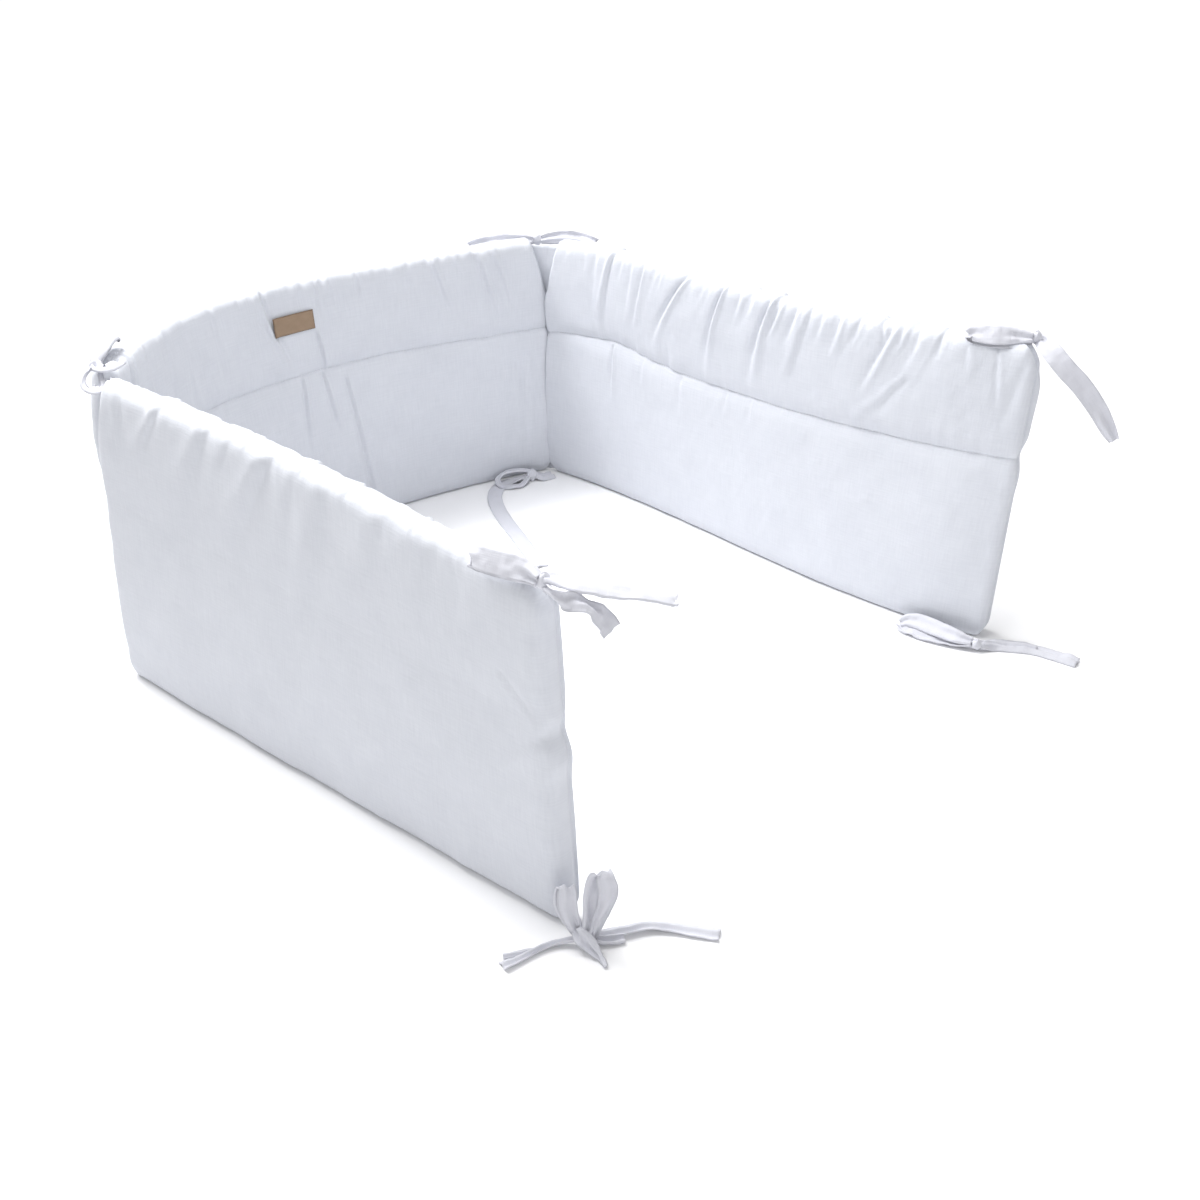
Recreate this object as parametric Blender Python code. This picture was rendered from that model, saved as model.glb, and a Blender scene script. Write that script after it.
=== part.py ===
"""Padded crib bumper standing in a U: three filled cotton panels, sewn end to end.

Metres, +Z up, standing on z = 0. The U opens towards -Y: the near panel stands on
the -X side, the head panel on the +Y side and the far panel on the +X side. Each
panel is one filled solid. Its inner face carries one sewn line across the panel,
with gathers above the line. Narrow unfilled strips of cloth join the panels at the
two corners, and a ribbon tie is sewn in at the top and the bottom of each of the
four upright edges. A small blank patch is sewn on the head panel's inner face.
"""
import math
from typing import NamedTuple

import bmesh
import bpy
import numpy as np
from mathutils import Matrix, Vector

# Panels
PANEL_HEIGHT = 0.300
PAD_HALF = 0.0135           # half of a pad's thickness beside its seams
UPPER_CROWN = 0.0025        # extra swell of the band above the sewn line
LOWER_CROWN = 0.0030        # extra swell of the field below the sewn line
SEAM_HALF = 0.0025          # half of the sewn edge's thickness
FOOT_HALF = 0.0048          # half of the flat strip that a pad stands on
END_REACH = 0.015           # how far from a seam the filling comes to its thickness
CORNER_REACH = 0.006        # the same on an inner face beside a corner strip
TOP_REACH = 0.018
FOOT_REACH = 0.016
FILL_POWER = 2.3            # 2 would be an ellipse, more is blunter

# The sewn line on the inner faces
STITCH_HEIGHT = 0.186
STITCH_DEPTH = 0.0065
STITCH_REACH = 0.010
PINCH_REACH = 0.012         # height over which the line draws in an end seam

# Gathers
RIDGE_SHARE = 0.6           # height of the ridge beside a trough, as a share of its depth
RIDGE_OFFSET = 1.7          # distance of that ridge from the trough, in trough widths
CREASE_FADE = 0.22          # share of a crease's length over which each end fades

# Where a pad's surface is sampled: distances from its seams and from the sewn line
END_STATIONS = (0.0, 0.0016, 0.0045, 0.009, 0.016, 0.026)
FOOT_ROWS = (0.0, 0.0025, 0.007, 0.016)
TOP_ROWS = (0.0165, 0.0075, 0.0028, 0.0)
STITCH_ROWS = (-0.013, -0.0055, 0.0, 0.0055, 0.013)
STATION_PITCH = 0.0145
ROW_PITCH = 0.052

# Corner strips
STRIP_HALF = 0.001
STRIP_GAP = 0.0013          # between a strip and the pads that it joins
STRIP_FOOT = 0.006          # its lower edge hangs clear of the floor
STRIP_TOP = 0.293
STRIP_BULGE = 0.006         # how far it bends outwards round the corner
STRIP_COLUMNS = 7

# Patch on the head panel
PATCH_X = (0.268, 0.316)    # along the head panel from its start seam
PATCH_Z = (0.2395, 0.2600)
PATCH_THICKNESS = 0.0012
PATCH_GAP = 0.0006

# Ribbons
RIBBON_THICKNESS = 0.0014
RIBBON_REST = 0.0           # nothing of a ribbon lies lower than this
KNOT_SEGMENTS = 9
KNOT_RINGS = 6
WELD_DISTANCE = 0.00002
MILLIMETRE = 0.001

# How curves and surfaces are followed
CURVE_SAMPLES = 401
DIRECTION_STEP = 0.002      # distance over which a panel's direction is measured
EASE_POWER = 1.6            # how a corner's pull fades with height
SHARP_ANGLE = 50            # degrees between faces that stay creased
PATCH_COLUMNS = 7
PATCH_ROWS = 4


class Plan(NamedTuple):
    """One edge of a panel seen from above: a Bezier curve's ends and handles."""

    start: tuple
    start_handle: tuple
    end_handle: tuple
    end: tuple


class Corner(NamedTuple):
    """An end seam: how far its top, foot and sewn line are drawn in, and over what height."""

    top_draw: float
    top_reach: float
    foot_draw: float
    foot_reach: float
    pinch: float
    inner_reach: float


class Crease(NamedTuple):
    """A trough from (top_x, top_z) to (low_x, low_z); x runs along the panel."""

    top_x: float
    top_z: float
    low_x: float
    low_z: float
    bend: float
    depth: float
    width: float
    ridge_side: int


class Panel(NamedTuple):
    """One filled panel, walked with the inside of the U on the right."""

    name: str
    floor_plan: Plan
    top_plan: Plan
    start: Corner
    end: Corner
    top_heights: tuple          # (distance along the panel, height of the top edge)
    stitch_heights: tuple       # (distance along the panel, height of the sewn line)
    inner_creases: tuple
    outer_creases: tuple


# Columns: top_draw, top_reach, foot_draw, foot_reach, pinch, inner_reach
FREE_END = Corner(0.013, 0.022, 0.007, 0.016, 0.004, END_REACH)
HINGED_END = Corner(0.016, 0.066, 0.008, 0.036, 0.002, CORNER_REACH)

# Columns: top_x, top_z, low_x, low_z, bend, depth, width, ridge_side
FAR_GATHERS = (
    Crease(0.066, 0.312, 0.050, 0.196, 0.000, 0.0012, 0.009, 1),
    Crease(0.118, 0.312, 0.090, 0.196, -0.006, 0.0024, 0.010, 1),
    Crease(0.160, 0.312, 0.128, 0.200, -0.004, 0.0018, 0.010, 1),
    Crease(0.230, 0.312, 0.178, 0.200, -0.012, 0.0028, 0.010, 1),
    Crease(0.281, 0.312, 0.240, 0.200, -0.004, 0.0026, 0.010, 1),
    Crease(0.329, 0.312, 0.298, 0.192, -0.003, 0.0030, 0.011, 1),
    Crease(0.366, 0.312, 0.342, 0.205, 0.000, 0.0018, 0.010, 1),
    Crease(0.412, 0.312, 0.385, 0.240, 0.000, 0.0016, 0.009, 1),
    Crease(0.454, 0.312, 0.424, 0.215, 0.008, 0.0022, 0.010, -1),
    Crease(0.502, 0.312, 0.486, 0.230, 0.000, 0.0012, 0.010, 1),
    Crease(0.561, 0.312, 0.566, 0.215, 0.000, 0.0020, 0.009, 1),
    Crease(0.106, 0.190, 0.099, 0.110, 0.000, 0.0020, 0.011, 1),
    Crease(0.205, 0.180, 0.200, 0.130, 0.000, 0.0010, 0.010, 1),
)
HEAD_GATHERS = (
    Crease(0.040, 0.312, 0.046, 0.150, 0.004, 0.0026, 0.009, 1),
    Crease(0.082, 0.312, 0.092, 0.215, 0.000, 0.0014, 0.010, 1),
    Crease(0.136, 0.312, 0.142, 0.192, 0.000, 0.0016, 0.010, 1),
    Crease(0.212, 0.312, 0.226, 0.225, 0.000, 0.0014, 0.010, 1),
    Crease(0.258, 0.290, 0.308, 0.186, -0.006, 0.0026, 0.010, 1),
    Crease(0.310, 0.186, 0.302, 0.110, 0.000, 0.0018, 0.010, 1),
    Crease(0.316, 0.236, 0.328, 0.140, 0.000, 0.0024, 0.010, -1),
    Crease(0.341, 0.176, 0.356, 0.010, 0.003, 0.0022, 0.012, 1),
    Crease(0.446, 0.312, 0.487, 0.205, 0.008, 0.0018, 0.010, 1),
    Crease(0.500, 0.312, 0.532, 0.235, 0.000, 0.0016, 0.009, 1),
    Crease(0.535, 0.312, 0.548, 0.240, 0.000, 0.0014, 0.009, -1),
    Crease(0.545, 0.150, 0.549, 0.050, 0.000, 0.0018, 0.013, 1),
)
# The near panel's inner face is not seen: it is gathered like the others.
NEAR_GATHERS = (
    Crease(0.070, 0.312, 0.092, 0.205, 0.004, 0.0016, 0.010, 1),
    Crease(0.128, 0.312, 0.150, 0.196, 0.000, 0.0022, 0.010, 1),
    Crease(0.205, 0.312, 0.236, 0.210, 0.005, 0.0018, 0.010, 1),
    Crease(0.262, 0.312, 0.281, 0.192, 0.000, 0.0026, 0.011, 1),
    Crease(0.330, 0.312, 0.352, 0.200, 0.006, 0.0018, 0.010, 1),
    Crease(0.392, 0.312, 0.405, 0.230, 0.000, 0.0014, 0.009, 1),
    Crease(0.448, 0.312, 0.470, 0.196, 0.000, 0.0024, 0.010, 1),
    Crease(0.505, 0.312, 0.512, 0.215, 0.000, 0.0016, 0.009, 1),
    Crease(0.300, 0.178, 0.306, 0.090, 0.000, 0.0016, 0.012, 1),
)
NEAR_OUTER_FOLDS = (
    Crease(0.462, 0.284, 0.476, 0.225, 0.000, 0.0022, 0.012, -1),
    Crease(0.402, 0.294, 0.396, 0.235, 0.000, 0.0024, 0.013, -1),
    Crease(0.332, 0.294, 0.344, 0.200, 0.006, 0.0032, 0.013, 1),
    Crease(0.212, 0.288, 0.232, 0.225, 0.000, 0.0018, 0.013, -1),
    Crease(0.120, 0.290, 0.140, 0.235, 0.000, 0.0012, 0.013, -1),
    Crease(0.004, 0.186, 0.074, 0.130, 0.000, 0.0014, 0.013, 1),
)
PLAIN_OUTER_FOLDS = (
    Crease(0.110, 0.292, 0.118, 0.225, 0.000, 0.0016, 0.012, 1),
    Crease(0.236, 0.292, 0.228, 0.215, 0.004, 0.0020, 0.013, -1),
    Crease(0.352, 0.292, 0.366, 0.230, 0.000, 0.0018, 0.012, 1),
    Crease(0.470, 0.292, 0.462, 0.222, 0.000, 0.0016, 0.013, -1),
)

NEAR = Panel(
    "panel_near",
    Plan((-0.276, -0.2505), (-0.279, -0.066), (-0.285, 0.120), (-0.283, 0.303)),
    Plan((-0.2835, -0.243), (-0.2755, -0.066), (-0.257, 0.109), (-0.2695, 0.297)),
    FREE_END,
    HINGED_END,
    ((0.0, 0.296), (0.15, 0.298), (0.30, 0.300), (0.55, 0.300)),
    ((0.0, 0.188), (0.28, 0.184), (0.56, 0.189)),
    NEAR_GATHERS,
    NEAR_OUTER_FOLDS,
)
HEAD = Panel(
    "panel_head",
    Plan((-0.2705, 0.3155), (-0.101, 0.420), (0.106, 0.391), (0.2935, 0.2925)),
    Plan((-0.2635, 0.306), (-0.105, 0.4645), (0.040, 0.383), (0.2835, 0.2825)),
    HINGED_END,
    HINGED_END,
    ((0.0, 0.294), (0.10, 0.293), (0.20, 0.292), (0.58, 0.289)),
    ((0.0, 0.187), (0.20, 0.191), (0.40, 0.190), (0.56, 0.184)),
    HEAD_GATHERS,
    PLAIN_OUTER_FOLDS,
)
FAR = Panel(
    "panel_far",
    Plan((0.298, 0.283), (0.316, 0.100), (0.251, -0.088), (0.2815, -0.299)),
    Plan((0.283, 0.270), (0.318, 0.155), (0.222, 0.050), (0.3005, -0.306)),
    HINGED_END,
    FREE_END,
    ((0.0, 0.288), (0.05, 0.291), (0.12, 0.295), (0.25, 0.297), (0.59, 0.300)),
    ((0.0, 0.180), (0.10, 0.191), (0.20, 0.183), (0.40, 0.186), (0.58, 0.191)),
    FAR_GATHERS,
    PLAIN_OUTER_FOLDS,
)
PANELS = (NEAR, HEAD, FAR)


class Stop(NamedTuple):
    """A point on a ribbon's route, in millimetres from its knot; the twist is in degrees."""

    x: float
    y: float
    z: float
    width: float
    twist: float


class Strand(NamedTuple):
    """One ribbon end, loop or root; across is its width's direction, or None to lie flat."""

    across: tuple
    stops: tuple


class Tie(NamedTuple):
    """A knot, in millimetres, and the ribbons that come out of it."""

    name: str
    knot: tuple
    knot_radii: tuple
    strands: tuple


# Columns of each Stop: x, y and z from the knot, width, twist
# End of the near panel, top
TIE_NEAR_TOP = Tie(
    "tie_near_top",
    (-288, -243, 301),
    (6.5, 5.5, 6.5),
    (
        Strand(None, (  # long tail
            Stop(0, 0, 1, 8, 0),
            Stop(3, -5, 3, 14, 8),
            Stop(10, -19, 2, 18, 10),
            Stop(23, -34, -3, 18, 8),
            Stop(43, -47, -11, 18, 6),
            Stop(61, -57, -19, 18, 6),
            Stop(65, -61, -21, 16, 6),
        )),
        Strand((0.76, -0.41, 0.51), (  # short tail, turned over
            Stop(-1, -1, -2, 7, -30),
            Stop(-1, -11, -3, 13, -30),
            Stop(3, -25, -7, 16, -20),
            Stop(8, -33, -13, 17, -5),
            Stop(9, -39, -19, 17, 0),
            Stop(10, -46, -26, 17, 0),
        )),
        Strand((0.97, 0.25, 0.00), (  # loop on the pad
            Stop(1, 3, 3, 9, 0),
            Stop(3, 14, 4, 15, 0),
            Stop(1, 29, 6, 18, 0),
            Stop(-5, 42, 8, 18, 0),
            Stop(-7, 54, 6, 18, 0),
            Stop(-9, 58, 4, 18, 0),
            Stop(-9, 53, 0, 18, 0),
            Stop(-5, 41, -1, 18, 0),
            Stop(-2, 27, -1, 17, 0),
            Stop(-1, 12, -1, 13, 0),
            Stop(-1, 2, -2, 8, 0),
        )),
    ),
)
# End of the near panel, foot
TIE_NEAR_FOOT = Tie(
    "tie_near_foot",
    (-294, -275, 8),
    (7, 6, 7),
    (
        Strand((0.62, -0.75, 0.10), (  # standing loop
            Stop(0, 3, 3, 7, 0),
            Stop(4, 6, 15, 9, 0),
            Stop(9, 7, 28, 11, 0),
            Stop(17, 7, 39, 12, 0),
            Stop(25, 4, 45, 13, 0),
            Stop(27, -5, 42, 13, 0),
            Stop(25, -8, 31, 12, 0),
            Stop(17, -6, 17, 10, 0),
            Stop(7, -3, 4, 7, 0),
        )),
        Strand((0.72, -0.66, 0.19), (  # loop beside the pad
            Stop(0, 5, 4, 9, 0),
            Stop(-1, 10, 15, 15, 0),
            Stop(-1, 15, 25, 18, 0),
            Stop(0, 16, 34, 15, 0),
            Stop(5, 18, 37, 11, 0),
            Stop(5, 19, 30, 14, 0),
            Stop(4, 19, 20, 16, 0),
            Stop(5, 14, 9, 13, 0),
            Stop(3, 7, 0, 8, 0),
        )),
        Strand(None, (  # left tail
            Stop(-3, 4, -1, 9, 0),
            Stop(-9, 12, -4, 10, 15),
            Stop(-17, 19, -6, 10, 0),
            Stop(-26, 25, -7, 10, 0),
            Stop(-37, 30, -7, 13, 0),
            Stop(-44, 35, -7, 16, 0),
        )),
        Strand(None, (  # right tail
            Stop(5, -1, -1, 9, 0),
            Stop(16, -7, -2, 12, 15),
            Stop(29, -16, -3, 13, 12),
            Stop(45, -26, -4, 12, 0),
            Stop(56, -40, -6, 12, 0),
            Stop(65, -57, -7, 12, 0),
            Stop(73, -72, -7, 12, 0),
        )),
        Strand(None, (  # front point
            Stop(0, -5, -3, 15, 0),
            Stop(-1, -13, -5, 11, 0),
            Stop(-4, -20, -6, 6, 0),
            Stop(-7, -28, -7, 2, 0),
        )),
        Strand(None, (  # flap
            Stop(5, -4, -4, 10, 0),
            Stop(12, -11, -6, 12, 0),
            Stop(23, -18, -7, 12, 0),
        )),
    ),
)
# Left corner, top
TIE_LEFT_TOP = Tie(
    "tie_left_top",
    (-260, 314, 301),
    (6, 6, 6),
    (
        Strand(None, (  # tail over the corner
            Stop(-2, -3, 1, 8, 0),
            Stop(-5, -17, 3, 13, 0),
            Stop(-1, -23, 4, 15, 0),
            Stop(14, -15, 3, 15, 0),
        )),
        Strand((0.66, -0.75, 0.00), (  # rising loop
            Stop(1, 1, 3, 8, 0),
            Stop(10, 10, 6, 13, 0),
            Stop(24, 22, 6, 14, 0),
            Stop(39, 34, 6, 13, 0),
            Stop(47, 42, 2, 13, 0),
            Stop(39, 39, 0, 13, 0),
            Stop(23, 24, -1, 12, 0),
            Stop(6, 7, -2, 7, 0),
        )),
        Strand((0.49, 0.87, 0.00), (  # hanging loop
            Stop(-4, 0, 1, 7, 0),
            Stop(-15, -6, -3, 10, 0),
            Stop(-21, -16, -8, 12, 0),
            Stop(-19, -24, -10, 12, 0),
            Stop(-12, -24, -8, 10, 0),
            Stop(-3, -11, -2, 7, 0),
        )),
    ),
)
# Left corner, foot: hidden in the photograph
TIE_LEFT_FOOT = Tie(
    "tie_left_foot",
    (-246, 287, 7),
    (6.5, 6.5, 6),
    (
        Strand((1.00, 0.05, 0.00), (  # loop along the near panel
            Stop(0, -6, 2, 9, 0),
            Stop(1, -21, 3, 15, 0),
            Stop(3, -39, 3, 16, 0),
            Stop(3, -46, 0, 16, 0),
            Stop(2, -39, -2, 16, 0),
            Stop(0, -23, -3, 15, 0),
            Stop(0, -7, -2, 9, 0),
        )),
        Strand((-0.39, 0.92, 0.00), (  # loop along the head panel
            Stop(5, 3, 2, 9, 0),
            Stop(20, 10, 3, 15, 0),
            Stop(36, 17, 3, 16, 0),
            Stop(43, 19, 0, 16, 0),
            Stop(36, 16, -2, 16, 0),
            Stop(20, 9, -3, 15, 0),
            Stop(5, 2, -2, 9, 0),
        )),
        Strand(None, (  # first tail
            Stop(3, -5, -1, 9, 0),
            Stop(10, -17, -4, 14, 0),
            Stop(18, -32, -6, 16, 0),
            Stop(24, -49, -6, 17, 0),
        )),
        Strand(None, (  # second tail
            Stop(6, -3, -1, 9, 0),
            Stop(18, -5, -4, 14, 0),
            Stop(34, -4, -6, 16, 0),
            Stop(52, -8, -6, 17, 0),
        )),
    ),
)
# Right corner, top
TIE_RIGHT_TOP = Tie(
    "tie_right_top",
    (287, 291, 282),
    (6, 6, 6),
    (
        Strand((0.10, 0.10, 1.00), (  # left loop
            Stop(-5, -1, 1, 8, 0),
            Stop(-11, 12, 0, 12, 0),
            Stop(-28, 22, 2, 13, 0),
            Stop(-45, 33, 3, 13, 0),
            Stop(-62, 40, 2, 13, 0),
            Stop(-43, 37, 0, 14, 0),
            Stop(-26, 26, -2, 14, 0),
            Stop(-11, 12, -2, 12, 0),
            Stop(-1, 3, -2, 8, 0),
        )),
        Strand((0.10, 0.10, 1.00), (  # right loop
            Stop(0, -5, 1, 8, 0),
            Stop(7, -16, 4, 12, 0),
            Stop(15, -31, 6, 13, 0),
            Stop(23, -47, 4, 13, 0),
            Stop(28, -61, 2, 13, 0),
            Stop(28, -40, -1, 13, 0),
            Stop(21, -25, -1, 13, 0),
            Stop(10, -12, -2, 11, 0),
            Stop(3, -1, -2, 8, 0),
        )),
    ),
)
# Right corner, foot
TIE_RIGHT_FOOT = Tie(
    "tie_right_foot",
    (253, 282, 7),
    (7, 6, 7),
    (
        Strand((0.10, 0.20, 0.90), (  # ring loop
            Stop(-8, -1, 0, 8, 0),
            Stop(-19, 6, 0, 11, 0),
            Stop(-27, 17, 1, 13, 0),
            Stop(-34, 21, 10, 12, 0),
            Stop(-30, 19, 16, 12, 0),
            Stop(-17, 14, 16, 12, 0),
            Stop(-7, 8, 11, 10, 0),
            Stop(-1, 1, 5, 7, 0),
        )),
        Strand(None, (  # long tail
            Stop(-7, 2, -1, 10, 0),
            Stop(-17, 11, -4, 14, 0),
            Stop(-31, 17, -6, 16, 0),
            Stop(-46, 13, -6, 17, 0),
            Stop(-64, -1, -6, 17, 0),
            Stop(-82, -25, -6, 17, 0),
            Stop(-99, -55, -6, 17, 0),
            Stop(-114, -85, -6, 17, 0),
            Stop(-128, -111, -6, 17, 0),
            Stop(-139, -132, -6, 17, 0),
        )),
        Strand(None, (  # short tail
            Stop(5, -3, -1, 10, 0),
            Stop(12, -9, -4, 13, 0),
            Stop(24, -13, -6, 14, 0),
        )),
    ),
)
# End of the far panel, top
TIE_FAR_TOP = Tie(
    "tie_far_top",
    (308, -296, 302),
    (6, 6, 6),
    (
        Strand((0.80, 0.60, 0.00), (  # loop on the pad
            Stop(2, 5, 2, 9, 0),
            Stop(0, 15, 4, 15, 0),
            Stop(-10, 27, 6, 17, 0),
            Stop(-18, 39, 6, 17, 0),
            Stop(-25, 48, 4, 17, 0),
            Stop(-33, 49, 4, 17, 0),
            Stop(-31, 44, 3, 17, 0),
            Stop(-24, 33, 1, 17, 0),
            Stop(-20, 19, 1, 16, 0),
            Stop(-14, 8, 1, 12, 0),
            Stop(-6, 0, 0, 7, 0),
        )),
        Strand((0.58, -0.66, 0.47), (  # long tail
            Stop(-2, -3, -2, 9, -30),
            Stop(-10, -19, -6, 16, -15),
            Stop(-10, -35, -19, 18, 0),
            Stop(-1, -50, -34, 18, 0),
            Stop(5, -65, -55, 18, 0),
            Stop(9, -82, -81, 15, 0),
        )),
    ),
)
# End of the far panel, foot
TIE_FAR_FOOT = Tie(
    "tie_far_foot",
    (253, -304, 7),
    (7, 6, 6.5),
    (
        Strand((0.99, 0.10, 0.00), (  # flat loop
            Stop(-2, 4, 2, 9, 0),
            Stop(-4, 13, 1, 14, 0),
            Stop(-6, 33, 1, 17, 0),
            Stop(-9, 55, 2, 17, 0),
            Stop(-9, 70, 2, 16, 0),
            Stop(-8, 73, -1, 16, 0),
            Stop(-8, 65, -4, 16, 0),
            Stop(-6, 44, -4, 17, 0),
            Stop(-3, 24, -4, 13, 0),
            Stop(-3, 6, -3, 8, 0),
        )),
        Strand(None, (  # long tail
            Stop(2, -3, -1, 9, 0),
            Stop(14, -12, -4, 13, 0),
            Stop(24, -26, -6, 15, 0),
            Stop(33, -44, -6, 15, 0),
            Stop(36, -65, -6, 14, 0),
            Stop(38, -87, -6, 14, 0),
        )),
        Strand(None, (  # upper tail
            Stop(4, -4, 1, 9, 0),
            Stop(17, -12, 0, 13, 0),
            Stop(31, -23, 0, 14, 0),
            Stop(40, -39, 0, 12, 0),
            Stop(41, -51, -1, 8, 0),
        )),
    ),
)
TIES = (
    TIE_NEAR_TOP,
    TIE_NEAR_FOOT,
    TIE_LEFT_TOP,
    TIE_LEFT_FOOT,
    TIE_RIGHT_TOP,
    TIE_RIGHT_FOOT,
    TIE_FAR_TOP,
    TIE_FAR_FOOT,
)

# Finishes: base colour, roughness
COTTON = ("white_cotton", (0.80, 0.81, 0.84), 0.9)
PATCH_LEATHER = ("tan_leather", (0.30, 0.21, 0.14), 0.7)


def clear_scene():
    """Remove everything that the opened file holds."""
    for thing in list(bpy.data.objects):
        bpy.data.objects.remove(thing, do_unlink=True)


def make_material(finish):
    """Return the Principled material of one finish, made once."""
    name, colour, roughness = finish
    material = bpy.data.materials.get(name)
    if material is None:
        material = bpy.data.materials.new(name)
        material.use_nodes = True
        shader = material.node_tree.nodes["Principled BSDF"]
        shader.inputs["Base Color"].default_value = (*colour, 1.0)
        shader.inputs["Roughness"].default_value = roughness
        shader.inputs["Metallic"].default_value = 0.0
    return material


# ---- a panel's mid surface ----

def bezier(plan, share):
    """Points of a plan curve at shares 0..1 of its parameter."""
    share = np.asarray(share, float)[..., None]
    rest = 1.0 - share
    start, first, second, end = (np.array(point) for point in plan)
    return rest**3 * start + 3 * rest**2 * share * first + 3 * rest * share**2 * second + share**3 * end


def walk(plan, distance):
    """Points of a plan curve at distances along it, and the curve's length."""
    fine = np.linspace(0.0, 1.0, CURVE_SAMPLES)
    points = bezier(plan, fine)
    lengths = np.concatenate(([0.0], np.cumsum(np.linalg.norm(np.diff(points, axis=0), axis=1))))
    return bezier(plan, np.interp(distance, lengths, fine)), lengths[-1]


def panel_length(panel):
    """Length of a panel's foot from seam to seam."""
    return walk(panel.floor_plan, 0.0)[1]


def mid_surface(panel, along, height):
    """Points of the panel's mid surface; along is in metres of the foot's length."""
    length = panel_length(panel)
    top_length = walk(panel.top_plan, 0.0)[1]
    low = walk(panel.floor_plan, along)[0]
    high = walk(panel.top_plan, along * top_length / length)[0]
    share = (height / PANEL_HEIGHT)[..., None]
    flat = low * (1.0 - share) + high * share
    return np.concatenate([flat, height[..., None]], axis=-1)


def inward(panel, along, height):
    """Level unit vectors from the mid surface towards the inside of the U."""
    length = panel_length(panel)
    ahead = mid_surface(panel, np.minimum(along + DIRECTION_STEP, length), height)
    behind = mid_surface(panel, np.maximum(along - DIRECTION_STEP, 0.0), height)
    run = ahead - behind
    run /= np.linalg.norm(run, axis=-1, keepdims=True)
    return np.stack([run[..., 1], -run[..., 0], np.zeros_like(along)], axis=-1)


# ---- a pad's outline and filling ----

def falling(share):
    """1 at share 0, easing to 0 at share 1 and beyond."""
    return np.clip(1.0 - share, 0.0, 1.0) ** EASE_POWER


def rising(distance, reach):
    """0 at a seam, rounding over to 1 at the reach."""
    share = np.clip(1.0 - distance / reach, 0.0, 1.0)
    return (1.0 - share**FILL_POWER) ** (1.0 / FILL_POWER)


def drawn_in(corner, height):
    """How far an end seam is pulled in at each height."""
    top = corner.top_draw * falling((PANEL_HEIGHT - height) / corner.top_reach)
    foot = corner.foot_draw * falling(height / corner.foot_reach)
    pinch = corner.pinch * np.exp(-((height - STITCH_HEIGHT) / PINCH_REACH) ** 2)
    return top + foot + pinch


def stitch_line(panel, along):
    """Height of the sewn line along a panel."""
    places, heights = zip(*panel.stitch_heights)
    return np.interp(along, places, heights)


def crease_relief(creases, along, height):
    """Offset of a face by its troughs and the ridges beside them."""
    relief = np.zeros_like(along)
    for crease in creases:
        share = (crease.top_z - height) / (crease.top_z - crease.low_z)
        inside = np.clip(np.minimum(share, 1.0 - share) / CREASE_FADE, 0.0, 1.0)
        fade = inside * inside * (3.0 - 2.0 * inside)
        centre = crease.top_x + (crease.low_x - crease.top_x) * share
        centre = centre + crease.bend * 4.0 * share * (1.0 - share)
        aside = (along - centre) / crease.width
        trough = -np.exp(-aside**2)
        ridge = RIDGE_SHARE * np.exp(-((aside - crease.ridge_side * RIDGE_OFFSET) ** 2))
        relief += crease.depth * fade * (trough + ridge)
    return relief


def half_thickness(panel, along, height, ends, inner):
    """Distance of a pad's face from its mid surface; ends are the distances to its end seams."""
    reaches = (panel.start.inner_reach, panel.end.inner_reach) if inner else (END_REACH, END_REACH)
    fill = rising(ends[0], reaches[0]) * rising(ends[1], reaches[1])
    fill = fill * rising(PANEL_HEIGHT - height, TOP_REACH) * rising(height, FOOT_REACH)
    seam = SEAM_HALF + (FOOT_HALF - SEAM_HALF) * falling(height / FOOT_REACH)
    line = stitch_line(panel, along)
    upper = UPPER_CROWN * np.sin(math.pi * np.clip((height - line) / (PANEL_HEIGHT - line), 0.0, 1.0))
    lower = LOWER_CROWN * np.sin(math.pi * np.clip(height / line, 0.0, 1.0))
    swell = PAD_HALF - seam + upper + lower
    if inner:
        swell = swell + crease_relief(panel.inner_creases, along, height)
        swell = swell - STITCH_DEPTH * np.exp(-((height - line) / STITCH_REACH) ** 2)
    else:
        swell = swell + crease_relief(panel.outer_creases, along, height)
    return seam + swell * fill


def sample_heights():
    """Heights of a pad's rows of points."""
    stitch_rows = STITCH_HEIGHT + np.array(STITCH_ROWS)
    top_rows = PANEL_HEIGHT - np.array(TOP_ROWS)
    lower = row_fill(FOOT_ROWS[-1], stitch_rows[0])
    upper = row_fill(stitch_rows[-1], top_rows[0])
    return np.concatenate([np.array(FOOT_ROWS), lower, stitch_rows, upper, top_rows])


def sample_places(panel):
    """Shares of the panel's length and heights of a pad's grid, as two arrays."""
    length = panel_length(panel)
    last = END_STATIONS[-1]
    spans = round((length - 2 * last) / STATION_PITCH)
    middle = np.linspace(last, length - last, spans + 1)[1:-1]
    ends = np.array(END_STATIONS)
    shares = np.concatenate([ends, middle, (length - ends)[::-1]]) / length
    return np.meshgrid(shares, sample_heights())


def row_fill(low, high):
    """Even heights strictly between two rows, about a row pitch apart."""
    spans = max(1, round((high - low) / ROW_PITCH))
    return np.linspace(low, high, spans + 1)[1:-1]


def follow_stitch(panel, along, height):
    """Shift the rows so that the middle stitch row lies on the sewn line."""
    shift = stitch_line(panel, along) - STITCH_HEIGHT
    below = np.clip(height / STITCH_HEIGHT, 0.0, 1.0)
    above = np.clip((PANEL_HEIGHT - height) / (PANEL_HEIGHT - STITCH_HEIGHT), 0.0, 1.0)
    return height + shift * np.minimum(below, above)


def settle_top(panel, along, height):
    """Heights with the band above the sewn line settled to the panel's own top edge."""
    places, heights = zip(*panel.top_heights)
    drop = PANEL_HEIGHT - np.interp(along, places, heights)
    return height - drop * np.clip((height - STITCH_HEIGHT) / (PANEL_HEIGHT - STITCH_HEIGHT), 0.0, 1.0)


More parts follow.
